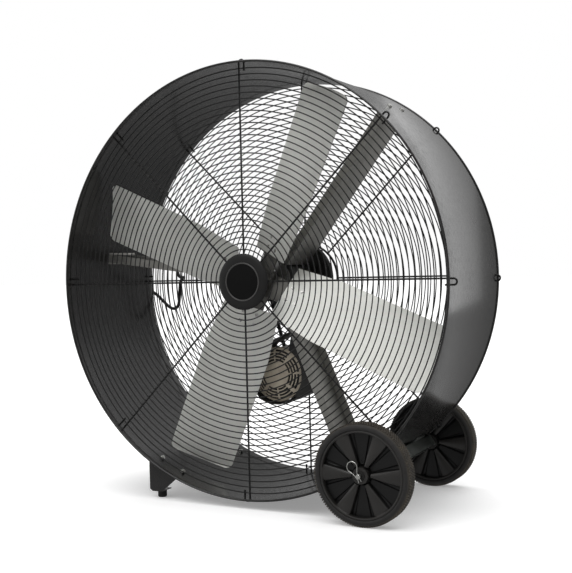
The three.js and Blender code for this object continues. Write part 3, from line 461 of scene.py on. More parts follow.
# Rounds the corners of an outline of (radius, y) points.
def rounded(outline, size, steps=3, closed=True):
    made, count = [], len(outline)
    for i, point in enumerate(outline):
        here = Vector(point)
        if not closed and i in (0, count - 1):
            made.append(point)
            continue
        before, after = Vector(outline[i - 1]), Vector(outline[(i + 1) % count])
        room = min(size, (before - here).length * 0.45, (after - here).length * 0.45)
        start = here + (before - here).normalized() * room
        end = here + (after - here).normalized() * room
        for k in range(steps + 1):
            t = k / steps
            spot = start * (1 - t) ** 2 + here * 2 * t * (1 - t) + end * t ** 2
            made.append((spot.x, spot.y))
    return made


# A round tube through points, with flat ends.
def tubeMesh(name, points, radius, sides=12):
    shape = bmesh.new()
    places = [Vector(point) for point in points]
    tangents = []
    for i in range(len(places)):
        ahead, behind = places[min(i + 1, len(places) - 1)], places[max(i - 1, 0)]
        tangents.append((ahead - behind).normalized())
    side = tangents[0].orthogonal().normalized()
    rings = []
    for place, tangent in zip(places, tangents):
        side = (side - tangent * side.dot(tangent)).normalized()
        other = tangent.cross(side)
        ring = []
        for k in range(sides):
            a, b = polar(radius, 360 * k / sides)
            ring.append(shape.verts.new(place + side * a + other * b))
        rings.append(ring)
    for first, second in zip(rings, rings[1:]):
        for k in range(sides):
            n = (k + 1) % sides
            shape.faces.new((first[k], first[n], second[n], second[k]))
    shape.faces.new(list(reversed(rings[0])))
    shape.faces.new(rings[-1])
    bmesh.ops.recalc_face_normals(shape, faces=shape.faces)
    return meshFrom(shape, name, 50)


# A smooth path through given points.
def smoothPath(points, stepsEach=6):
    places = [Vector(point) for point in points]
    places = [places[0] * 2 - places[1]] + places + [places[-1] * 2 - places[-2]]
    path = []
    for i in range(1, len(places) - 2):
        a, b, c, d = places[i - 1:i + 3]
        knots = [0.0]
        for first, second in ((a, b), (b, c), (c, d)):
            knots.append(knots[-1] + max((second - first).length, 1e-6) ** 0.5)
        for k in range(stepsEach):
            t = knots[1] + (knots[2] - knots[1]) * k / stepsEach
            ab = a.lerp(b, (t - knots[0]) / (knots[1] - knots[0]))
            bc = b.lerp(c, (t - knots[1]) / (knots[2] - knots[1]))
            cd = c.lerp(d, (t - knots[2]) / (knots[3] - knots[2]))
            abc = ab.lerp(bc, (t - knots[0]) / (knots[2] - knots[0]))
            bcd = bc.lerp(cd, (t - knots[1]) / (knots[3] - knots[1]))
            path.append(abc.lerp(bcd, (t - knots[1]) / (knots[2] - knots[1])))
    return path + [places[-2]]


def bakedMesh(piece, name):
    depsgraph = bpy.context.evaluated_depsgraph_get()
    mesh = bpy.data.meshes.new_from_object(piece.evaluated_get(depsgraph))
    mesh.name = name
    bpy.data.objects.remove(piece)
    return mesh


# A copy of a sheet or block node with its doubles merged and its edges broken by a small round.
def softenedPiece(name, node, width, segments=2, angle=28):
    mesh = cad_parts[node].data.copy()
    if "custom_normal" in mesh.attributes:
        mesh.attributes.remove(mesh.attributes["custom_normal"])
    shape = bmesh.new()
    shape.from_mesh(mesh)
    bmesh.ops.remove_doubles(shape, verts=shape.verts, dist=0.00002)
    bmesh.ops.dissolve_limit(shape, angle_limit=math.radians(1), verts=shape.verts, edges=shape.edges)
    shape.to_mesh(mesh)
    shape.free()
    piece = newPiece(name, mesh)
    bevel = piece.modifiers.new("edges", "BEVEL")
    bevel.width = width
    bevel.segments = segments
    bevel.limit_method = "ANGLE"
    bevel.angle_limit = math.radians(angle)
    baked = bakedMesh(piece, name)
    smoothMesh(baked, 40)
    return newPiece(name, baked)


# Helpers for Geometry Nodes trees
def startTree(name, sizes):
    tree = bpy.data.node_groups.new(name, "GeometryNodeTree")
    tree.interface.new_socket("Geometry", in_out="OUTPUT", socket_type="NodeSocketGeometry")
    tree.interface.new_socket("Geometry", in_out="INPUT", socket_type="NodeSocketGeometry")
    kinds = {int: "NodeSocketInt", float: "NodeSocketFloat", tuple: "NodeSocketVector"}
    for label, value in sizes.items():
        kind = kinds.get(type(value), "NodeSocketMaterial")
        tree.interface.new_socket(label, in_out="INPUT", socket_type=kind)
    given = tree.nodes.new("NodeGroupInput").outputs
    result = tree.nodes.new("NodeGroupOutput").inputs[0]
    return tree, given, result


def endTree(tree, given, result, geometry):
    solid = addNode(tree, "GeometryNodeRealizeInstances", {0: geometry}).outputs[0]
    painted = addNode(tree, "GeometryNodeSetMaterial", {"Geometry": solid, "Material": given["Finish"]})
    tree.links.new(painted.outputs[0], result)


def grownMesh(name, tree, sizes, base=None):
    holder = newPiece(name, base or bpy.data.meshes.new(name))
    modifier = holder.modifiers.new("grow", "NODES")
    modifier.node_group = tree
    for item in tree.interface.items_tree:
        if item.in_out == "INPUT" and item.name in sizes:
            modifier[item.identifier] = sizes[item.name]
    mesh = bakedMesh(holder, name)
    smoothMesh(mesh)
    return mesh


def joinNode(tree, *parts):
    node = tree.nodes.new("GeometryNodeJoinGeometry")
    for part in parts:
        tree.links.new(part, node.inputs[0])
    return node.outputs[0]


def circleNode(tree, radius, points):
    inputs = {"Radius": radius, "Resolution": points}
    return addNode(tree, "GeometryNodeCurvePrimitiveCircle", inputs).outputs[0]


def vectorNode(tree, x=0.0, y=0.0, z=0.0):
    return addNode(tree, "ShaderNodeCombineXYZ", {0: x, 1: y, 2: z}).outputs[0]


# Drum
drumValues = {
    "segments": 256,
    "beadRadial": 2.9 * mm,
    "beadAxial": 3.5 * mm,
    "beadFrom": -105,
    "beadTo": 175,
    "beadInside": 6 * mm,
    "beadOutside": 8 * mm,
    "seamWidth": 16 * mm,
    "seamProud": 0.7 * mm,
    "seamAngle": 268.0,
    "seamMargin": 9 * mm,
    "welds": 13,
    "weldPitch": 30 * mm,
    "weldRadius": 2.6 * mm,
}


def makeDrum():
    v = drumValues
    bead = (rimRadius - v["beadRadial"], rimY - v["beadAxial"])
    ends = [(bead[0] + v["beadRadial"] * a, bead[1] + v["beadAxial"] * b)
            for a, b in arcPoints((0, 0), 1, v["beadFrom"], v["beadTo"], 14)]
    mirrored = [(radius, -y) for radius, y in reversed(ends)]
    inside, outside = rimY - v["beadInside"], rimY - v["beadOutside"]
    outline = ends + [(innerRadius, inside), (innerRadius, 0), (innerRadius, -inside)]
    outline += mirrored + [(wallRadius, -outside), (wallRadius, 0), (wallRadius, outside)]
    drum = newPiece("drumWall", turnedMesh("drumWall", outline, segments=v["segments"]))
    finishPiece(drum, "drumPaint", "root", "black_paint", "drum_shell")
    seam = makeSeam(v)
    finishPiece(seam, "drumPaint", "root", "black_paint")


# A lap seam under the drum, with its row of spot welds.
def makeSeam(v):
    half = math.degrees(v["seamWidth"] / 2 / wallRadius)
    reach = rimY - v["seamMargin"]
    shape = bmesh.new()
    layers = []
    for radius in (wallRadius - 0.1 * mm, wallRadius + v["seamProud"]):
        rows = []
        for i in range(9):
            angle = v["seamAngle"] - half + i * half / 4
            x, z = polar(radius, angle)
            rows.append([shape.verts.new((x, y, axisZ + z)) for y in (-reach, reach)])
        layers.append(rows)
    low, high = layers
    for i in range(8):
        shape.faces.new((high[i][0], high[i][1], high[i + 1][1], high[i + 1][0]))
        shape.faces.new((low[i + 1][0], low[i + 1][1], low[i][1], low[i][0]))
        for k in (0, 1):
            shape.faces.new((low[i][k], high[i][k], high[i + 1][k], low[i + 1][k]))
    for i in (0, 8):
        shape.faces.new((low[i][0], low[i][1], high[i][1], high[i][0]))
    x, z = polar(wallRadius + v["seamProud"], v["seamAngle"])
    flat = Matrix.Rotation(math.radians(90 - v["seamAngle"]), 4, "Y") @ Matrix.Diagonal((1, 1, 0.12, 1))
    for i in range(v["welds"]):
        y = (i - (v["welds"] - 1) / 2) * v["weldPitch"]
        spot = Matrix.Translation((x, y, axisZ + z)) @ flat
        bmesh.ops.create_uvsphere(shape, u_segments=16, v_segments=8, radius=v["weldRadius"], matrix=spot)
    bmesh.ops.recalc_face_normals(shape, faces=shape.faces)
    return newPiece("lapSeam", meshFrom(shape, "lapSeam", 32))


# Wire guards
guardValues = {
    "ringPitch": 15.5 * mm,
    "outerRing": innerRadius - 10.5 * mm,
    "ringWire": 1.6 * mm,
    "spokeWire": 2.45 * mm,
    "spokeCount": 8,
    "hairpinRadius": 7.5 * mm,
    "hairpinReach": 3.5 * mm,
    "hairpinReturn": 22 * mm,
    "hairpinStart": 20 * mm,
    "frontRings": 31,
    "rearRings": 30,
    "ringSegments": 144,
    "frontInset": 30 * mm,
    "rearInset": 14 * mm,
    "weldDepth": 0.4 * mm,
    "frontSpokeStart": 4 * mm,
    "bandHalf": 2.6 * mm,
    "bandPast": 3 * mm,
    "bandRound": 1.2 * mm,
}


def guardTree():
    sizes = {"Ring count": 1, "Outer ring": 1.0, "Ring pitch": 1.0, "Ring plane": 1.0, "Ring wire": 1.0,
             "Spoke count": 1, "Spoke wire": 1.0, "Axis height": 1.0, "Ring segments": 1, "Finish": None}
    tree, given, result = startTree("guardWires", sizes)
    index = addNode(tree, "GeometryNodeInputIndex").outputs[0]
    middle = vectorNode(tree, 0.0, given["Ring plane"], given["Axis height"])
    ringPoints = addNode(tree, "GeometryNodePoints", {"Count": given["Ring count"], "Position": middle})
    circle = circleNode(tree, 1.0, given["Ring segments"])
    inward = mathNode(tree, "MULTIPLY", index, given["Ring pitch"])
    radius = mathNode(tree, "SUBTRACT", given["Outer ring"], inward)
    rings = addNode(tree, "GeometryNodeInstanceOnPoints", {
        "Points": ringPoints.outputs[0], "Instance": circle,
        "Rotation": (math.pi / 2, 0, 0), "Scale": vectorNode(tree, radius, radius, radius)})
    ringCurves = addNode(tree, "GeometryNodeRealizeInstances", {0: rings.outputs[0]}).outputs[0]
    ringWires = addNode(tree, "GeometryNodeCurveToMesh", {
        "Curve": ringCurves, "Profile Curve": circleNode(tree, given["Ring wire"], 8), "Fill Caps": True})
    axis = vectorNode(tree, 0.0, 0.0, given["Axis height"])
    spokePoints = addNode(tree, "GeometryNodePoints", {"Count": given["Spoke count"], "Position": axis})
    turn = mathNode(tree, "MULTIPLY", index, mathNode(tree, "DIVIDE", -2 * math.pi, given["Spoke count"]))
    spokeCurve = addNode(tree, "GeometryNodeMeshToCurve", {"Mesh": given["Geometry"]})
    spokes = addNode(tree, "GeometryNodeInstanceOnPoints", {
        "Points": spokePoints.outputs[0], "Instance": spokeCurve.outputs[0],
        "Rotation": vectorNode(tree, 0.0, turn, 0.0)})
    spokeCurves = addNode(tree, "GeometryNodeRealizeInstances", {0: spokes.outputs[0]}).outputs[0]
    spokeWires = addNode(tree, "GeometryNodeCurveToMesh", {
        "Curve": spokeCurves, "Profile Curve": circleNode(tree, given["Spoke wire"], 10), "Fill Caps": True})
    endTree(tree, given, result, joinNode(tree, ringWires.outputs[0], spokeWires.outputs[0]))
    return tree


# One spoke, from its inner end out through the wall, round its small bend and back in.
def spokeLine(name, y, start):
    v = guardValues
    out = wallRadius + v["hairpinReach"]
    points = [(start, 0), (out - v["hairpinStart"], 0)]
    points += arcPoints((out, -v["hairpinRadius"]), v["hairpinRadius"], 90, -90, 14)
    points.append((out - v["hairpinReturn"], -2 * v["hairpinRadius"]))
    mesh = bpy.data.meshes.new(name)
    mesh.from_pydata([(x, y, z) for x, z in points], [(i, i + 1) for i in range(len(points) - 1)], [])
    return mesh


def makeGuard(tree, name, node, ringPlane, spokePlane, ringCount, spokeStart):
    v = guardValues
    sizes = {"Ring count": ringCount, "Outer ring": v["outerRing"], "Ring pitch": v["ringPitch"],
             "Ring plane": ringPlane, "Ring wire": v["ringWire"], "Spoke count": v["spokeCount"],
             "Spoke wire": v["spokeWire"], "Axis height": axisZ, "Ring segments": v["ringSegments"],
             "Finish": finishes["wireCoat"]}
    mesh = grownMesh(name, tree, sizes, spokeLine(name + "Spoke", spokePlane, spokeStart))
    return finishPiece(newPiece(name, mesh), "wireCoat", "root", "black_wire", node)


frontRingPlane = guardValues["frontInset"] - rimY
rearRingPlane = rimY - guardValues["rearInset"]
ringToSpoke = guardValues["ringWire"] + guardValues["spokeWire"] - guardValues["weldDepth"]


def makeGuards():
    v = guardValues
    tree = guardTree()
    makeGuard(tree, "frontGuardWires", "front_guard", frontRingPlane, frontRingPlane + ringToSpoke,
              v["frontRings"], v["frontSpokeStart"])
    lastRing = v["outerRing"] - (v["rearRings"] - 1) * v["ringPitch"]
    makeGuard(tree, "rearGuardWires", "rear_guard", rearRingPlane, rearRingPlane - ringToSpoke,
              v["rearRings"], lastRing)
    low, high = rearRingPlane - ringToSpoke - v["bandPast"], rearRingPlane
    inner, outer = lastRing - v["bandHalf"], lastRing + v["bandHalf"]
    band = rounded([(inner, low), (outer, low), (outer, high), (inner, high)], v["bandRound"])
    piece = newPiece("rearGuardBand", turnedMesh("rearGuardBand", band, segments=128))
    finishPiece(piece, "wireCoat", "root", "black_wire")


# Badge
badgeValues = {"radius": 73 * mm, "disc": 47 * mm, "bead": 1.9 * mm}


def makeBadge():
    v = badgeValues
    low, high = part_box("guard_badge")
    back, face = high.y, low.y + 1.2 * mm
    outline = [(0, back), (v["radius"] - 5 * mm, back), (v["radius"], back - 2.5 * mm),
               (v["radius"], back - 4 * mm), (v["radius"] - 5 * mm, face + 1.6 * mm),
               (v["radius"] - 12 * mm, face + 0.4 * mm), (v["disc"] + 4 * mm, face),
               (v["disc"] + 1 * mm, face + 1.4 * mm), (0, face + 1.4 * mm)]
    outline = rounded(outline, 2.4 * mm, 4, closed=False)
    cap = newPiece("badgeCap", turnedMesh("badgeCap", outline, segments=128))
    finishPiece(cap, "badgePlastic", "root", "dark_plastic", "guard_badge")
    disc = rounded([(0, face + 1.6 * mm), (v["disc"], face + 1.6 * mm), (v["disc"], face + 0.5 * mm),
                    (0, face + 0.3 * mm)], 0.6 * mm, 3, closed=False)
    plate = newPiece("badgeDisc", turnedMesh("badgeDisc", disc, segments=128))
    finishPiece(plate, "badgeGloss", "root", "dark_plastic")
    # the bead ring takes the lighter finish: painted highlight round the disc
    bead = arcPoints((v["disc"] + 1.2 * mm, face + 0.7 * mm), v["bead"], 0, 345, 14)
    ring = newPiece("badgeBead", turnedMesh("badgeBead", bead, segments=128))
    finishPiece(ring, "badgeBeadPaintedHighlight", "root", "dark_plastic")


# Arms, bearings and shaft
def makeArms():
    for i in (1, 2, 3):
        arm = softenedPiece(f"arm{i}", f"spider_arm_{i}", 0.9 * mm, 3)
        finishPiece(arm, "armSheet", "root", "galvanised", f"spider_arm_{i}")


bearingValues = {
    "housingBore": 40 * mm,
    "shaftBore": 12.9 * mm,
    "spigotRadius": 39 * mm,
    "faceSteps": (0, 2.2 * mm, 5.5 * mm, 7 * mm),
}


def makeBearings():
    v = bearingValues
    low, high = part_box("bearing_carrier")
    radius, bore = (high.x - low.x) / 2, v["housingBore"]
    outline = rounded([(bore, low.y), (radius - 6 * mm, low.y), (radius, low.y + 3 * mm),
                       (radius, low.y + 16 * mm), (radius - 4 * mm, low.y + 22 * mm),
                       (radius - 4 * mm, high.y - 22 * mm), (radius, high.y - 16 * mm),
                       (radius, high.y - 3 * mm), (radius - 6 * mm, high.y), (bore, high.y)], 2 * mm)
    carrier = newPiece("bearingHousing", turnedMesh("bearingHousing", outline, segments=96))
    finishPiece(carrier, "casting", "root", "cast_iron", "bearing_carrier")
    inner, spigot = v["shaftBore"], v["spigotRadius"]
    for name, node, face in (("frontBearingCap", "front_bearing", -1), ("rearBearingCap", "rear_bearing", 1)):
        low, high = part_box(node)
        outer = (high.x - low.x) / 2
        front = high.y if face > 0 else low.y
        y = [front - face * depth for depth in v["faceSteps"]]
        back = low.y if face > 0 else high.y
        outline = [(inner, y[0]), (18 * mm, y[0]), (19 * mm, y[1]), (26 * mm, y[1] + face * 0.8 * mm),
                   (28 * mm, y[1]), (outer, y[2]), (outer, y[3]), (spigot, y[3]), (spigot, back),
                   (inner, back)]
        cap = newPiece(name, turnedMesh(name, rounded(outline, 1.2 * mm), segments=96))
        finishPiece(cap, "shaftSteel", "root", "steel", node)


# A plain shaft along Y with rounded ends, in its node's place.
def shaftPiece(name, node, endRound, steps, segments):
    low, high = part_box(node)
    centre = ((low.x + high.x) / 2, (low.z + high.z) / 2)
    radius = (high.x - low.x) / 2
    ends = [(0, low.y), (radius, low.y), (radius, high.y), (0, high.y)]
    outline = rounded(ends, endRound, steps, closed=False)
    return newPiece(name, turnedMesh(name, outline, centre, segments))


def makeShaft():
    shaft = shaftPiece("fanShaft", "fan_shaft", 1.5 * mm, 2, 64)
    finishPiece(shaft, "shaftSteel", "fan_rotor", "steel", "fan_shaft")


# Fan
bladeValues = {
    "count": 4,
    "firstAngle": 67.0,
    "tipRadius": 535 * mm,
    "rootRadius": 76 * mm,
    "tipChord": 180 * mm,
    "rootChord": 150 * mm,
    "tipPitch": 21.2,
    "rootPitch": 30.0,
    "middleY": -83 * mm,
    "camber": 9 * mm,
    "corner": 16 * mm,
    "sheet": 2.2 * mm,
}


# A point of the blade on the +X side: how far out, how far along its chord (-1 to 1), which face.
def bladePoint(out, across, face):
    v = bladeValues
    radius = v["rootRadius"] + (v["tipRadius"] - v["rootRadius"]) * out
    chord = v["rootChord"] + (v["tipChord"] - v["rootChord"]) * min(1, out / 0.3)
    pitch = math.radians(v["rootPitch"] + (v["tipPitch"] - v["rootPitch"]) * out)
    past = max(0.0, v["corner"] - (v["tipRadius"] - radius))
    trim = v["corner"] - math.sqrt(max(v["corner"] ** 2 - past ** 2, 0))
    c = across * (chord / 2 - trim)
    camber = v["camber"] * out * (1 - across ** 2)
    lift = face * v["sheet"] / 2
    t = c * math.cos(pitch) - (camber + lift) * math.sin(pitch)
    y = c * math.sin(pitch) + (camber + lift) * math.cos(pitch)
    bow = radius - math.sqrt(max(radius ** 2 - t ** 2, 0))
    return Vector((radius - bow * out, y + v["middleY"], t))


def bladeMesh(name, angle):
    v = bladeValues
    length = v["tipRadius"] - v["rootRadius"]
    cornerStart = 1 - v["corner"] / length
    spans = [cornerStart * i / 30 for i in range(31)]
    spans += [cornerStart + (1 - cornerStart) * math.sin(math.radians(90 * i / 9)) for i in range(1, 10)]
    across = [-1 + 2 * i / 24 for i in range(25)]
    shape = bmesh.new()
    turn = Matrix.Rotation(-math.radians(angle), 4, "Y")
    grids = []
    for face in (-1, 1):
        grids.append([[shape.verts.new(turn @ bladePoint(out, c, face) + Vector((0, 0, axisZ)))
                       for c in across] for out in spans])
    for grid in grids:
        for i in range(len(spans) - 1):
            for k in range(len(across) - 1):
                shape.faces.new((grid[i][k], grid[i][k + 1], grid[i + 1][k + 1], grid[i + 1][k]))
    low, high = grids
    for i in range(len(spans) - 1):
        for k in (0, len(across) - 1):
            shape.faces.new((low[i][k], low[i + 1][k], high[i + 1][k], high[i][k]))
    for k in range(len(across) - 1):
        for i in (0, len(spans) - 1):
            shape.faces.new((low[i][k], low[i][k + 1], high[i][k + 1], high[i][k]))
    bmesh.ops.recalc_face_normals(shape, faces=shape.faces)
    return meshFrom(shape, name, 40)


hubValues = {
    "bore": 12.8 * mm,
    "bossRadius": 34 * mm,
    "armReach": 132 * mm,
    "armWidth": 64 * mm,
    "armSheet": 4 * mm,
    "armSlope": 28.8,
    "armBehind": 1.9 * mm,
    "armStart": 20 * mm,
    "armCorner": 12 * mm,
}


def hubArmMesh(name, angle):
    v = hubValues
    half, start, corner = v["armWidth"] / 2, v["armStart"], v["armCorner"]
    reach = v["armReach"] - corner
    outline = [(start, -half)] + arcPoints((reach, corner - half), corner, -90, 0, 6)
    outline += arcPoints((reach, half - corner), corner, 0, 90, 6) + [(start, half)]
    shape = bmesh.new()
    back = [shape.verts.new((x, v["armSheet"], t)) for x, t in outline]
    front = [shape.verts.new((x, 0, t)) for x, t in outline]
    shape.faces.new(back)
    shape.faces.new(list(reversed(front)))
    for i in range(len(outline)):
        n = (i + 1) % len(outline)
        shape.faces.new((front[i], front[n], back[n], back[i]))
    bmesh.ops.recalc_face_normals(shape, faces=shape.faces)
    lifted = Matrix.Translation((0, bladeValues["sheet"] / 2 + v["armBehind"], 0))
    slope = Matrix.Rotation(-math.radians(v["armSlope"]), 4, "X")
    place = Matrix.Translation((0, bladeValues["middleY"], 0))
    turn = Matrix.Translation((0, 0, axisZ)) @ Matrix.Rotation(-math.radians(angle), 4, "Y")
    shape.transform(turn @ place @ slope @ lifted)
    return meshFrom(shape, name)


def joinedMesh(name, meshes):
    shape = bmesh.new()
    for mesh in meshes:
        shape.from_mesh(mesh)
    return meshFrom(shape, name, 40)


def makeFan():
    v, h = bladeValues, hubValues
    angles = [v["firstAngle"] + 360 * i / v["count"] for i in range(v["count"])]
    for i, angle in enumerate(angles):
        blade = newPiece(f"blade{i + 1}", bladeMesh(f"blade{i + 1}", angle))
        finishPiece(blade, "bladeSheet", "fan_rotor", "blade_metal", f"blade_{i + 1}")
    low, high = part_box("fan_hub")
    bore, boss = h["bore"], h["bossRadius"]
    outline = rounded([(bore, low.y), (boss - 6 * mm, low.y), (boss, low.y + 6 * mm), (boss, high.y - 2 * mm),
                       (boss - 2 * mm, high.y), (bore, high.y)], 2 * mm)
    meshes = [turnedMesh("boss", outline, segments=96)]
    meshes += [hubArmMesh("hubArm", angle) for angle in angles]
    hub = newPiece("fanHub", joinedMesh("fanHub", meshes))
    finishPiece(hub, "hubSheet", "fan_rotor", "galvanised", "fan_hub")


# Belt drive
beltValues = {"inset": 1 * mm, "thickness": 8 * mm, "width": 10 * mm, "taper": 1.6 * mm}


pulleyValues = {
    "hubProud": 6 * mm,
    "grooveDepth": 10.2 * mm,
    "grooveHalf": 3.4 * mm,
    "rimEdge": 2.2 * mm,
    "webInset": 6 * mm,
    "fan": {"hub": 26 * mm, "bore": 12.8 * mm, "segments": 128},
    "motor": {"hub": 13 * mm, "bore": 8.3 * mm, "segments": 64},
}


def pulleyMesh(name, node, kind):
    v = pulleyValues
    hub, bore = v[kind]["hub"], v[kind]["bore"]
    low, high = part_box(node)
    centre = ((low.x + high.x) / 2, (low.z + high.z) / 2)
    radius = (high.x - low.x) / 2
    front, rear = low.y + v["hubProud"], high.y
    groove = radius - v["grooveDepth"]
    middle, half, edge, web = (front + rear) / 2, v["grooveHalf"], v["rimEdge"], v["webInset"]
    rim = max(groove - 8 * mm, hub + 1 * mm)
    outline = [(bore, low.y), (hub, low.y), (hub, front + web), (rim, front + web), (rim, front),
               (radius, front), (radius, front + edge), (groove, middle - half), (groove, middle + half),
               (radius, rear - edge), (radius, rear), (rim, rear), (rim, rear - web), (hub, rear - web),
               (hub, rear - 1 * mm), (bore, rear - 1 * mm)]
    return turnedMesh(name, rounded(outline, 0.9 * mm), centre, v[kind]["segments"])


# The belt's line in X and Z: round the far side of each pulley and straight between them.
def beltLine(depth):
    low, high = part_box("fan_pulley")
    bigRadius = (high.x - low.x) / 2 - depth
    smallLow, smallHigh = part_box("motor_pulley")
    smallRadius = (smallHigh.x - smallLow.x) / 2 - depth
    x, z = (smallLow.x + smallHigh.x) / 2, (smallLow.z + smallHigh.z) / 2 - axisZ
    line = math.degrees(math.atan2(z, x))
    lean = math.degrees(math.acos((bigRadius - smallRadius) / math.hypot(x, z)))
    big = arcPoints((0, 0), bigRadius, line + lean, line + 360 - lean, 72)
    small = arcPoints((x, z), smallRadius, line - lean, line + lean, 24)
    return [(a, axisZ + b) for a, b in big + small]


# A band of four corners along a closed line in X and Z.
def beltMesh(name):
    v = beltValues
    low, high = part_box("drive_belt")
    middle = (low.y + high.y) / 2
    back, inside = beltLine(v["inset"]), beltLine(v["inset"] + v["thickness"])
    shape = bmesh.new()
    rings = []
    for outer, inner in zip(back, inside):
        half, narrow = v["width"] / 2, v["width"] / 2 - v["taper"]
        corners = [(outer, middle - half), (outer, middle + half),
                   (inner, middle + narrow), (inner, middle - narrow)]
        rings.append([shape.verts.new((place[0], y, place[1])) for place, y in corners])
    for i, ring in enumerate(rings):
        after = rings[(i + 1) % len(rings)]
        for k in range(4):
            n = (k + 1) % 4
            shape.faces.new((ring[k], ring[n], after[n], after[k]))
    bmesh.ops.recalc_face_normals(shape, faces=shape.faces)
    return meshFrom(shape, name, 32)


def makeBeltDrive():
    big = newPiece("fanPulley", pulleyMesh("fanPulley", "fan_pulley", "fan"))
    finishPiece(big, "casting", "fan_rotor", "cast_iron", "fan_pulley")
    small = newPiece("motorPulley", pulleyMesh("motorPulley", "motor_pulley", "motor"))
    finishPiece(small, "casting", "motor_rotor", "cast_iron", "motor_pulley")
    belt = newPiece("driveBelt", beltMesh("driveBelt"))
    finishPiece(belt, "rubber", "root", "rubber", "drive_belt")


# Motor
motorValues = {
    "slotRows": 4,
    "slotFirst": 38 * mm,
    "slotPitch": 8.4 * mm,
    "slotWidth": 5.4 * mm,
    "slotGroups": 4,
    "groupTurn": -40.0,
    "slotSpread": 39.0,
    "middleBar": 2.2,
    "plateRadius": 36 * mm,
    "canFront": 7 * mm,
    "canRear": 107 * mm,
    "canBore": 9 * mm,
    "bellBore": 8.5 * mm,
}


# The front bell: a domed plate on a polar grid, with the faces over each slot left out, given a wall.
def motorGrille():
    v = motorValues
    low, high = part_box("motor_front_bell")
    centre = Vector(((low.x + high.x) / 2, 0, (low.z + high.z) / 2))
    outer = (high.x - low.x) / 2
    depth = high.y - low.y
    slotStarts = [v["slotFirst"] + row * v["slotPitch"] for row in range(v["slotRows"])]
    radii = [4 * mm, 16 * mm, v["plateRadius"], v["plateRadius"] + 1.5 * mm]
    for start in slotStarts:
        radii += [start, start + v["slotWidth"]]
    radii += [outer - 6 * mm, outer - 3 * mm, outer - 1 * mm, outer, outer]

    def bellY(radius):
        if radius <= v["plateRadius"]:
            return low.y + 0.8 * mm
        share = (radius - v["plateRadius"]) / (outer - v["plateRadius"])
        return low.y + 1.6 * mm + (depth - 6 * mm) * share ** 2.6

    steps = 144
    shape = bmesh.new()
    hub = shape.verts.new(centre + Vector((0, low.y + 0.8 * mm, 0)))
    rings = []
    for i, radius in enumerate(radii):
        y = high.y if i == len(radii) - 1 else bellY(radius)
        ring = []
        for k in range(steps):
            x, z = polar(radius, 360 * k / steps)
            ring.append(shape.verts.new(centre + Vector((x, y, z))))
        rings.append(ring)
    for k in range(steps):
        shape.faces.new((hub, rings[0][k], rings[0][(k + 1) % steps]))
    span = 360 / v["slotGroups"]
    for i in range(len(radii) - 1):
        inSlotRow = any(abs(radii[i] - start) < 1e-6 for start in slotStarts)
        for k in range(steps):
            turn = (360 * (k + 0.5) / steps - v["groupTurn"]) % span
            beside = abs(turn - span / 2)
            if inSlotRow and v["middleBar"] < beside < v["slotSpread"]:
                continue
            n = (k + 1) % steps
            shape.faces.new((rings[i][k], rings[i][n], rings[i + 1][n], rings[i + 1][k]))
    bmesh.ops.recalc_face_normals(shape, faces=shape.faces)
    piece = newPiece("motorGrille", meshFrom(shape, "motorGrille"))
    wall = piece.modifiers.new("wall", "SOLIDIFY")
    wall.thickness = 2 * mm
    wall.offset = -1
    edges = piece.modifiers.new("edges", "BEVEL")
    edges.width = 0.5 * mm
    edges.segments = 2
    edges.limit_method = "ANGLE"
    edges.angle_limit = math.radians(50)
    baked = bakedMesh(piece, "motorGrille")
    smoothMesh(baked, 40)
    return newPiece("motorGrille", baked)


def makeMotor():
    v = motorValues
    low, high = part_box("motor_rear_bell")
    centre = ((low.x + high.x) / 2, (low.z + high.z) / 2)
    radius = (high.x - low.x) / 2 - 1 * mm
    front, rear, bore = v["canFront"], v["canRear"], v["canBore"]
    can = [(bore, front + 1 * mm), (radius - 6 * mm, front + 1 * mm), (radius - 5 * mm, front),
           (radius, front), (radius, front + 6 * mm), (radius - 1.2 * mm, front + 8 * mm),
           (radius - 1.2 * mm, rear - 8 * mm), (radius, rear - 6 * mm), (radius, rear), (bore, rear)]
    housing = newPiece("motorCan", turnedMesh("motorCan", rounded(can, 1 * mm), centre, 128))
    finishPiece(housing, "motorEnamel", "root", "motor_paint", "motor_housing")
    finishPiece(motorGrille(), "motorEnamel", "root", "motor_paint", "motor_front_bell")
    # a dark disc just behind the bell's slots stands in for the motor's inside: painted shade
    inside = rounded([(0, front - 3 * mm), (radius - 4 * mm, front - 3 * mm), (radius - 4 * mm, front),
                      (0, front)], 1 * mm, 2, closed=False)
    dark = newPiece("motorInside", turnedMesh("motorInside", inside, centre, 64))
    finishPiece(dark, "casting", "root", "motor_paint")
    bell = [(v["bellBore"], low.y), (radius + 1 * mm, low.y), (radius + 1 * mm, low.y + 3 * mm),
            (radius - 8 * mm, high.y - 1.5 * mm), (22 * mm, high.y - 1.5 * mm), (20 * mm, high.y),
            (v["bellBore"], high.y)]
    rearBell = newPiece("motorRearBell", turnedMesh("motorRearBell", rounded(bell, 1.5 * mm), centre, 96))
    finishPiece(rearBell, "motorEnamel", "root", "motor_paint", "motor_rear_bell")
    shaft = shaftPiece("motorShaft", "motor_shaft", 1 * mm, 2, 48)
    finishPiece(shaft, "shaftSteel", "motor_rotor", "steel", "motor_shaft")
    cradle = softenedPiece("motorCradle", "motor_cradle", 0.8 * mm, 2, 40)
    finishPiece(cradle, "casting", "root", "cast_iron", "motor_cradle")
    pad = softenedPiece("motorPad", "motor_pad", 0.8 * mm, 2)
    finishPiece(pad, "rubber", "root", "rubber", "motor_pad")


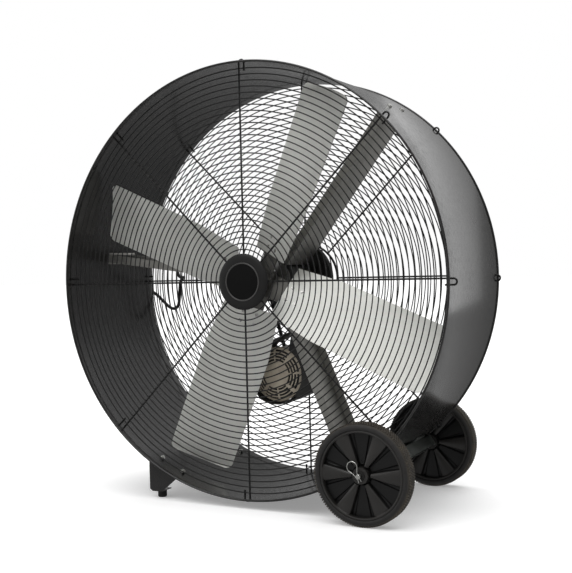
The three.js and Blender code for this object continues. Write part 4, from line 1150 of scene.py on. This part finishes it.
# Wheels
wheelValues = {
    "wedges": 6,
    "wedgeShare": 0.215,
    "grooveShare": 0.075,
    "grooveDepth": 19 * mm,
    "wedgeRise": 14.5 * mm,
    "betweenRise": 4 * mm,
    "bossRadius": 20 * mm,
    "lipWidth": 6 * mm,
    "lipRidge": 1.2 * mm,
    "lugs": 120,
    "lugRows": 5,
    "lugRise": 1.4 * mm,
    "lugRowPitch": 6.6 * mm,
    "lugWidth": 5.6 * mm,
    "lugShare": 0.62,
    "wornFrom": 7 * mm,
    "wornTo": 1 * mm,
    # depths over which the wheel's painted shade fades from dark to light
    "shadeDepthFrom": 13 * mm,
    "shadeDepthTo": 6.5 * mm,
}


def smoothStep(low, high, value):
    t = min(1.0, max(0.0, (value - low) / (high - low)))
    return t * t * (3 - 2 * t)


# One moulded face of the wheel, from the boss to the lip, as a height over a polar grid.
def wheelFaceY(radius, degrees, lip):
    v = wheelValues
    boss = v["bossRadius"]
    if radius <= boss:
        return 0.0 if radius > boss * 0.55 else -1.2 * mm
    span = abs((degrees / 360 * v["wedges"] + 0.5) % 1 - 0.5)
    reach, groove = v["wedgeShare"], v["wedgeShare"] + v["grooveShare"]
    raised = 1 - smoothStep(reach - 0.03, reach + 0.012, span)
    between = smoothStep(groove, groove + 0.03, span)
    outward = smoothStep(boss + 1.5 * mm, boss + 5 * mm, radius)
    dome = 1 - 0.3 * (span / reach) ** 2
    height = outward * (raised * v["wedgeRise"] * dome + between * v["betweenRise"]) - v["grooveDepth"]
    edge = smoothStep(lip - v["lipWidth"] - 1 * mm, lip - v["lipWidth"] + 0.5 * mm, radius)
    ridge = v["lipRidge"] * math.sin(math.pi * min(1, max(0, (radius - lip + 5 * mm) / (4 * mm))))
    return height * (1 - edge) + (ridge - 2 * mm - v["lipRidge"]) * edge


def wheelRimMesh(name, node):
    low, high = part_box(node)
    middleY, half = (low.y + high.y) / 2, (high.y - low.y) / 2
    centre = Vector(((low.x + high.x) / 2, 0, (low.z + high.z) / 2))
    v = wheelValues
    bore, boss, lip = 6.4 * mm, v["bossRadius"], (high.x - low.x) / 2
    radii = [bore, bore + 1 * mm, boss * 0.55, boss * 0.56, boss - 1 * mm, boss - 0.01 * mm]
    radii += [boss + d * mm for d in (0.5, 1.5, 2.5, 3.5, 5, 7)]
    radii += [boss + 7 * mm + (lip - boss - 18.5 * mm) * i / 8 for i in range(1, 9)]
    radii += [lip - d * mm for d in (11, 10.2, 9.5, 8.8, 8, 7, 6.5, 6, 5.5, 5, 4, 3, 2, 1, 0.5, 0)]
    steps = 360
    shape = bmesh.new()
    faces = []
    for side in (-1, 1):
        rings = []
        for radius in radii:
            ring = []
            for k in range(steps):
                x, z = polar(radius, 360 * k / steps)
                y = middleY + side * (half + wheelFaceY(radius, 360 * k / steps, lip))
                if radius == radii[-1]:
                    y -= side * 0.6 * mm
                ring.append(shape.verts.new(centre + Vector((x, y, z))))
            rings.append(ring)
        for first, second in zip(rings, rings[1:]):
            for k in range(steps):
                n = (k + 1) % steps
                shape.faces.new((first[k], first[n], second[n], second[k]))
        faces.append(rings)
    for index in (0, -1):
        near, far = faces[0][index], faces[1][index]
        for k in range(steps):
            n = (k + 1) % steps
            shape.faces.new((near[k], near[n], far[n], far[k]))
    bmesh.ops.recalc_face_normals(shape, faces=shape.faces)
    return meshFrom(shape, name, 50)


def treadTree():
    sizes = {"Lug count": 1, "Row count": 1, "Tread radius": 1.0, "Row pitch": 1.0,
             "Lug size": (1.0, 1.0, 1.0), "Middle": (0.0, 0.0, 0.0), "Finish": None}
    tree, given, result = startTree("treadLugs", sizes)
    index = addNode(tree, "GeometryNodeInputIndex").outputs[0]
    total = mathNode(tree, "MULTIPLY", given["Lug count"], given["Row count"])
    points = addNode(tree, "GeometryNodePoints", {"Count": total})
    row = mathNode(tree, "FLOOR", mathNode(tree, "DIVIDE", index, given["Lug count"]), 0.0)
    stagger = mathNode(tree, "MULTIPLY", mathNode(tree, "MODULO", row, 2.0), 0.5)
    turn = mathNode(tree, "MULTIPLY", mathNode(tree, "ADD", index, stagger),
                    mathNode(tree, "DIVIDE", 2 * math.pi, given["Lug count"]))
    x = mathNode(tree, "MULTIPLY", mathNode(tree, "COSINE", turn, 0.0), given["Tread radius"])
    z = mathNode(tree, "MULTIPLY", mathNode(tree, "SINE", turn, 0.0), given["Tread radius"])
    middleRow = mathNode(tree, "MULTIPLY", mathNode(tree, "SUBTRACT", given["Row count"], 1.0), 0.5)
    y = mathNode(tree, "MULTIPLY", mathNode(tree, "SUBTRACT", row, middleRow), given["Row pitch"])
    place = addNode(tree, "ShaderNodeVectorMath", {0: vectorNode(tree, x, y, z), 1: given["Middle"]},
                    operation="ADD")
    placed = addNode(tree, "GeometryNodeSetPosition", {
        "Geometry": points.outputs[0], "Position": place.outputs[0]})
    lug = addNode(tree, "GeometryNodeMeshCube", {"Size": given["Lug size"]})
    back = mathNode(tree, "MULTIPLY", turn, -1.0)
    lugs = addNode(tree, "GeometryNodeInstanceOnPoints", {
        "Points": placed.outputs[0], "Instance": lug.outputs[0],
        "Rotation": vectorNode(tree, 0.0, back, 0.0)})
    endTree(tree, given, result, lugs.outputs[0])
    return tree


def paintWorn(mesh, centre, fromRadius, toRadius):
    worn = mesh.attributes.new("worn", "FLOAT", "POINT")
    for vertex, value in zip(mesh.vertices, worn.data):
        radius = math.hypot(vertex.co.x - centre[0], vertex.co.z - centre[1])
        value.value = smoothStep(fromRadius, toRadius, radius)


# Paints shade into the wheel's plastic by depth: 0 deep in the grooves and recesses, 1 on the raised wedges
# and the lip
def paintShadeByDepth(mesh, middleY, half):
    v = wheelValues
    raised = mesh.attributes.new("raised", "FLOAT", "POINT")
    for vertex, value in zip(mesh.vertices, raised.data):
        value.value = smoothStep(half - v["shadeDepthFrom"], half - v["shadeDepthTo"], abs(vertex.co.y - middleY))


def makeWheel(end, tree):
    v = wheelValues
    rimLow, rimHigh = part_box(f"{end}_wheel_rim")
    disc = wheelRimMesh(f"{end}WheelDisc", f"{end}_wheel_rim")
    paintShadeByDepth(disc, (rimLow.y + rimHigh.y) / 2, (rimHigh.y - rimLow.y) / 2)
    rim = newPiece(f"{end}WheelDisc", disc)
    finishPiece(rim, "wheelPlastic", f"{end}_wheel", "black_plastic", f"{end}_wheel_rim")
    low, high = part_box(f"{end}_wheel_tyre")
    centre = ((low.x + high.x) / 2, (low.z + high.z) / 2)
    radius, half, middleY = (high.x - low.x) / 2, (high.y - low.y) / 2, (low.y + high.y) / 2
    inner, carcass = (rimHigh.x - rimLow.x) / 2 + 0.3 * mm, radius - v["lugRise"]
    side = [(inner, half - 2.5 * mm), (radius - 14.5 * mm, half - 0.9 * mm),
            (radius - 11 * mm, half - 0.2 * mm), (radius - 6.5 * mm, half - 1.8 * mm),
            (carcass - 1.2 * mm, half - 6.5 * mm), (carcass, half - 11.5 * mm)]
    outline = [(r, middleY + y) for r, y in side] + [(r, middleY - y) for r, y in reversed(side)]
    meshes = [turnedMesh("carcass", rounded(outline, 2.4 * mm, 4), centre, 132)]
    pitch = 2 * math.pi * radius / v["lugs"]
    sizes = {"Lug count": v["lugs"], "Row count": v["lugRows"], "Tread radius": radius - v["lugRise"],
             "Row pitch": v["lugRowPitch"],
             "Lug size": (2 * v["lugRise"], v["lugWidth"], pitch * v["lugShare"]),
             "Middle": (centre[0], middleY, centre[1]), "Finish": finishes["treadRubber"]}
    meshes.append(grownMesh("lugs", tree, sizes))
    mesh = joinedMesh(f"{end}WheelTyre", meshes)
    paintWorn(mesh, centre, radius - v["wornFrom"], radius - v["wornTo"])
    tyre = newPiece(f"{end}WheelTyre", mesh)
    finishPiece(tyre, "treadRubber", f"{end}_wheel", "tyre_rubber", f"{end}_wheel_tyre")


clipValues = {"ring": 13.0, "beside": 7.9, "lean": 30.0, "wire": 1.2 * mm}


# One leg through the axle, a loop above it and a bowed leg beside it, all leaning to the left.
def clipPath(end):
    v = clipValues
    low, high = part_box(f"{end}_axle_clip")
    axleLow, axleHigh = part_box("wheel_axle")
    axle = Vector(((axleLow.x + axleHigh.x) / 2, (low.y + high.y) / 2, (axleLow.z + axleHigh.z) / 2))
    loop = [(a - v["beside"] / 2, 6 + 1.6 * v["ring"] + b)
            for a, b in arcPoints((0, 0), v["ring"], -40, 221, 20)]
    points = [(0, -13), (0, 8)] + loop
    points += [(-v["beside"] - 0.5, 6), (-v["beside"], 0), (-v["beside"] + 2, -7), (-v["beside"], -13)]
    lean = Matrix.Rotation(-math.radians(v["lean"]), 3, "Y")
    return smoothPath([axle + lean @ Vector((x * mm, 0, z * mm)) for x, z in points], 3)


def makeWheels():
    tree = treadTree()
    low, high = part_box("wheel_axle")
    centre = ((low.x + high.x) / 2, (low.z + high.z) / 2)
    axle = shaftPiece("wheelAxle", "wheel_axle", 1.4 * mm, 3, 48)
    finishPiece(axle, "boltZinc", "root", "zinc", "wheel_axle")
    for end in ("front", "rear"):
        makeWheel(end, tree)
        low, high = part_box(f"{end}_washer")
        outer = (high.x - low.x) / 2
        ring = rounded([(6.4 * mm, low.y), (outer, low.y), (outer, high.y), (6.4 * mm, high.y)], 0.4 * mm, 2)
        washer = newPiece(f"{end}Washer", turnedMesh(f"{end}Washer", ring, centre, 48))
        finishPiece(washer, "blackPlastic", "root", "black_plastic", f"{end}_washer")
        clip = newPiece(f"{end}AxleClip", tubeMesh(f"{end}AxleClip", clipPath(end), clipValues["wire"], 10))
        finishPiece(clip, "boltZinc", "root", "zinc", f"{end}_axle_clip")
        bush = softenedPiece(f"{end}AxleBush", f"{end}_axle_bush", 0.8 * mm)
        finishPiece(bush, "blackPlastic", "root", "black_plastic", f"{end}_axle_bush")
        # the saddles and the carrier take the darker galvanised copy: painted shade
        saddle = softenedPiece(f"{end}Saddle", f"{end}_saddle", 0.4 * mm)
        finishPiece(saddle, "bracketSheetPaintedShade", "root", "galvanised", f"{end}_saddle")
    carrier = softenedPiece("axleCarrier", "axle_carrier", 0.9 * mm, 3)
    finishPiece(carrier, "bracketSheetPaintedShade", "root", "galvanised", "axle_carrier")


# Feet
footValues = {"ribs": 4, "firstRib": 3 * mm, "ribPitch": 3.6 * mm}


def makeFeet():
    v = footValues
    for end in ("front", "rear"):
        leg = softenedPiece(f"{end}Foot", f"{end}_foot_bracket", 0.8 * mm, 3)
        finishPiece(leg, "drumPaint", "root", "black_paint", f"{end}_foot_bracket")
        low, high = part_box(f"{end}_foot_pad")
        x, y = (low.x + high.x) / 2, (low.y + high.y) / 2
        radius, top = (high.x - low.x) / 2, high.z
        outline = [(0, 0), (radius - 2 * mm, 0), (radius - 1 * mm, 1 * mm)]
        for i in range(v["ribs"]):
            z = v["firstRib"] + v["ribPitch"] * i
            outline += [(radius - 0.9 * mm, z), (radius - 0.1 * mm, z + 0.6 * mm),
                        (radius - 0.1 * mm, z + 2.2 * mm), (radius - 0.9 * mm, z + 2.8 * mm)]
        outline += [(radius - 1 * mm, top), (0, top)]
        mesh = turnedMesh(f"{end}FootPad", outline, (0, 0), 48)
        mesh.transform(Matrix.Translation((x, y, 0)) @ Matrix.Rotation(math.radians(90), 4, "X"))
        pad = newPiece(f"{end}FootPad", mesh)
        finishPiece(pad, "rubber", "root", "rubber", f"{end}_foot_pad")


# Bolts
boltValues = {
    "head": 7.2 * mm,
    "height": 4.3 * mm,
    "flange": 7.224 * mm,
    "shank": 4 * mm,
    "nutHeight": 4 * mm,
    "pastNut": 3 * mm,
}


def boltTree():
    sizes = {"Head radius": 1.0, "Head height": 1.0, "Flange radius": 1.0, "Shank radius": 1.0, "Grip": 1.0,
             "Nut height": 1.0, "Finish": None}
    tree, given, result = startTree("bolts", sizes)

    def cylinder(radius, depth, sides, base):
        made = addNode(tree, "GeometryNodeMeshCylinder", {
            "Vertices": sides, "Radius": radius, "Depth": depth})
        lift = mathNode(tree, "ADD", mathNode(tree, "MULTIPLY", depth, 0.5), base)
        return addNode(tree, "GeometryNodeTransform", {
            "Geometry": made.outputs[0], "Translation": vectorNode(tree, 0.0, 0.0, lift)}).outputs[0]

    tail = mathNode(tree, "MULTIPLY", mathNode(tree, "ADD", given["Grip"], given["Nut height"]), -1.0)
    shankEnd = mathNode(tree, "SUBTRACT", tail, boltValues["pastNut"])
    shankLength = mathNode(tree, "MULTIPLY", shankEnd, -1.0)
    pieces = [
        cylinder(given["Flange radius"], mathNode(tree, "MULTIPLY", given["Head height"], 0.25), 20, 0.0),
        cylinder(given["Head radius"], mathNode(tree, "MULTIPLY", given["Head height"], 0.85), 6, 0.0),
        cylinder(mathNode(tree, "MULTIPLY", given["Head radius"], 0.8), given["Head height"], 20, 0.0),
        cylinder(given["Shank radius"], shankLength, 16, shankEnd),
        cylinder(given["Head radius"], given["Nut height"], 6, tail),
    ]
    outward = addNode(tree, "GeometryNodeInputNamedAttribute", {"Name": "outward"}, data_type="FLOAT_VECTOR")
    turn = addNode(tree, "FunctionNodeAlignEulerToVector", {"Vector": outward.outputs[0]}, axis="Z")
    bolts = addNode(tree, "GeometryNodeInstanceOnPoints", {
        "Points": given["Geometry"], "Instance": joinNode(tree, *pieces), "Rotation": turn.outputs[0]})
    endTree(tree, given, result, bolts.outputs[0])
    return tree


def boltSeats(name, places):
    mesh = bpy.data.meshes.new(name)
    mesh.from_pydata([place for place, outward in places], [], [])
    attribute = mesh.attributes.new("outward", "FLOAT_VECTOR", "POINT")
    for item, (place, outward) in zip(attribute.data, places):
        item.vector = outward
    return mesh


def makeBolts():
    v = boltValues
    tree = boltTree()
    groups = (("armBolts", "arm_bolt", 6, wallRadius + 0.3 * mm, 5 * mm),
              ("footBolts", "foot_bolt", 4, wallRadius + 3.6 * mm, 6.5 * mm),
              ("carrierBolts", "carrier_bolt", 2, rimRadius + 3.9 * mm, 11.5 * mm))
    for name, stem, count, seat, grip in groups:
        nodes = [f"{stem}_{i + 1}" for i in range(count)]
        places = []
        for node in nodes:
            low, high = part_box(node)
            middle = (low + high) / 2
            outward = Vector((middle.x, 0, middle.z - axisZ)).normalized()
            places.append((outward * seat + Vector((0, middle.y, axisZ)), outward))
        sizes = {"Head radius": v["head"], "Head height": v["height"], "Flange radius": v["flange"],
                 "Shank radius": v["shank"], "Grip": grip, "Nut height": v["nutHeight"],
                 "Finish": finishes["boltZinc"]}
        mesh = grownMesh(name, tree, sizes, boltSeats(name, places))
        finishPiece(newPiece(name, mesh), "boltZinc", "root", "zinc", *nodes)
    makeHubBolts(tree)


screwValues = {
    "screw": {"Head radius": 3.8 * mm, "Head height": 2.2 * mm, "Flange radius": 5 * mm,
              "Shank radius": 2.2 * mm, "Grip": 7.5 * mm, "Nut height": 3 * mm},
    "bearingScrew": {"Head radius": 4 * mm, "Grip": 6 * mm},  # what differs on the bearing
    "bladeRows": (92 * mm, 120 * mm),
    "bladeAcross": 0.24,
    "bearingCircle": 46 * mm,
    "bearingFirst": 20,
    "bearingSeat": 4.6 * mm,
}


# Screws that hold the blades to the hub's arms, and the front bearing's cap to its housing.
def makeHubBolts(tree):
    v, b = screwValues, bladeValues
    places = []
    span = b["tipRadius"] - b["rootRadius"]
    for i in range(b["count"]):
        turn = Matrix.Rotation(-math.radians(b["firstAngle"] + 360 * i / b["count"]), 4, "Y")
        for radius in v["bladeRows"]:
            for across in (-v["bladeAcross"], v["bladeAcross"]):
                out = (radius - b["rootRadius"]) / span
                here, behind = bladePoint(out, across, -1), bladePoint(out, across, 1)
                outward = (here - behind).normalized()
                places.append((turn @ here + Vector((0, 0, axisZ)), turn.to_3x3() @ outward))
    sizes = {**v["screw"], "Finish": finishes["boltZinc"]}
    mesh = grownMesh("bladeScrews", tree, sizes, boltSeats("bladeScrews", places))
    finishPiece(newPiece("bladeScrews", mesh), "boltZinc", "fan_rotor", "zinc")
    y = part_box("front_bearing")[0].y + v["bearingSeat"]
    places = []
    for i in range(4):
        x, z = polar(v["bearingCircle"], v["bearingFirst"] + 90 * i)
        places.append(((x, y, axisZ + z), (0, -1, 0)))
    sizes.update(v["bearingScrew"])
    mesh = grownMesh("bearingScrews", tree, sizes, boltSeats("bearingScrews", places))
    finishPiece(newPiece("bearingScrews", mesh), "boltZinc", "root", "zinc")


# Switch box and lead
leadValues = {
    "radius": 4.85 * mm,
    "sides": 16,
    "boxAngle": 201.0,
    "boxMiddleY": 128 * mm,
    "boxGlandHeight": 15.3 * mm,
    "boxGlandAside": 38.2 * mm,
    "leadStart": 52.5 * mm,
    "motorGlandAngle": 128.0,
    "motorGlandY": 92 * mm,
    "motorGlandOut": 72.5 * mm,
    "leadBend": 91.3 * mm,
    "leadEnd": 85 * mm,
    "screwDepth": 1 * mm,
}
leadRoute = [  # metres from the drum's axis
    (-0.562, 0.129, -0.140), (-0.5625, 0.131, -0.116), (-0.5635, 0.138, -0.086), (-0.566, 0.151, -0.060),
    (-0.5685, 0.168, -0.042), (-0.5693, 0.188, -0.034), (-0.5693, 0.204, -0.033), (-0.564, 0.216, -0.036),
    (-0.552, 0.221, -0.045), (-0.534, 0.221, -0.060), (-0.513, 0.218, -0.076), (-0.494, 0.215, -0.0865),
    (-0.477, 0.213, -0.087), (-0.466, 0.212, -0.077), (-0.461, 0.211, -0.058), (-0.458, 0.210, -0.034),
    (-0.454, 0.208, -0.012), (-0.447, 0.206, 0.003), (-0.437, 0.203, 0.0085), (-0.433, 0.195, 0.010),
    (-0.4326, 0.186, 0.0105), (-0.432, 0.176, 0.012), (-0.428, 0.161, 0.018), (-0.419, 0.143, 0.031),
    (-0.407, 0.125, 0.043), (-0.391, 0.1145, 0.050), (-0.370, 0.1099, 0.0487), (-0.325, 0.1099, 0.0428),
    (-0.280, 0.1099, 0.0369), (-0.235, 0.1099, 0.031), (-0.198, 0.1099, 0.026), (-0.168, 0.1099, 0.018),
    (-0.146, 0.1099, 0.002), (-0.131, 0.1089, -0.024), (-0.119, 0.106, -0.056), (-0.110, 0.102, -0.092),
    (-0.102, 0.098, -0.124), (-0.090, 0.094, -0.150), (-0.075, 0.0925, -0.168)]


def glandMesh(name, place, along):
    outline = rounded([(0, 0), (8 * mm, 0), (8 * mm, 6.5 * mm), (6.6 * mm, 7 * mm), (6.2 * mm, 9 * mm),
                       (5 * mm, 14 * mm), (4.2 * mm, 14 * mm), (0, 13.6 * mm)], 0.8 * mm, 3, closed=False)
    mesh = turnedMesh(name, outline, (0, 0), 32)
    turn = Vector((0, 1, 0)).rotation_difference(Vector(along)).to_matrix().to_4x4()
    mesh.transform(Matrix.Translation(place) @ turn)
    return mesh


# Moves the tips of the box's screws outward, so that they end within the sheet of the drum's wall.
def shortenScrews(mesh):
    least = wallRadius - leadValues["screwDepth"]
    for vertex in mesh.vertices:
        radius = math.hypot(vertex.co.x, vertex.co.z - axisZ)
        if radius < least:
            axis = Vector((0, vertex.co.y, axisZ))
            vertex.co = axis + (vertex.co - axis) * (least / radius)


def makeSwitchAndLead():
    v = leadValues
    box = softenedPiece("switchBox", "switch_box", 1.4 * mm, 3)
    shortenScrews(box.data)
    finishPiece(box, "blackPlastic", "root", "black_plastic", "switch_box")
    knob = softenedPiece("switchKnob", "switch_knob", 0.8 * mm, 3)
    finishPiece(knob, "blackPlastic", "knob", "black_plastic", "switch_knob")
    outward = Vector((*polar(1, v["boxAngle"]), 0)).xzy
    across = Vector((*polar(1, v["boxAngle"] + 90), 0)).xzy
    seat = outward * (wallRadius + v["boxGlandHeight"]) + Vector((0, v["boxMiddleY"], axisZ))
    for name, node, side in (("leadGland", "lead_gland", -1), ("mainsGland", "mains_gland", 1)):
        gland = newPiece(name, glandMesh(name, seat + across * side * v["boxGlandAside"], across * side))
        finishPiece(gland, "blackPlastic", "root", "black_plastic", node)
    start = seat - across * v["leadStart"]
    low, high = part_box("motor_rear_bell")
    motorAxis = Vector(((low.x + high.x) / 2, v["motorGlandY"], (low.z + high.z) / 2))
    toGland = Vector((*polar(1, v["motorGlandAngle"]), 0)).xzy
    glandPlace = motorAxis + toGland * v["motorGlandOut"]
    motorGland = newPiece("motorGland", glandMesh("motorGland", glandPlace, toGland))
    finishPiece(motorGland, "blackPlastic", "root", "motor_paint")
    points = [start, start - across * 4 * mm]
    points += [Vector(point) + Vector((0, 0, axisZ)) for point in leadRoute]
    points += [motorAxis + toGland * v["leadBend"], motorAxis + toGland * v["leadEnd"]]
    mesh = tubeMesh("motorLead", smoothPath(points, 7), v["radius"], v["sides"])
    lead = newPiece("motorLead", mesh)
    finishPiece(lead, "leadJacket", "root", "rubber", "motor_lead")


# Floor
def makeFloor():
    bpy.ops.mesh.primitive_grid_add(x_subdivisions=8, y_subdivisions=8, size=studio["floorSize"])
    floor = bpy.context.active_object
    floor.name = "floor"
    floor.visible_glossy = False
    floor.data.materials.append(finishes["floorPaint"])


makeCamera()
makeLight()
makeFloor()
print("camera, light and floor placed")
makeDrum()
makeGuards()
makeBadge()
print("drum, guards and badge made")
makeArms()
makeBearings()
makeShaft()
makeFan()
makeBeltDrive()
makeMotor()
print("fan, belt drive and motor made")
makeWheels()
makeFeet()
makeBolts()
makeSwitchAndLead()
print("wheels, feet, bolts, switch and lead made")
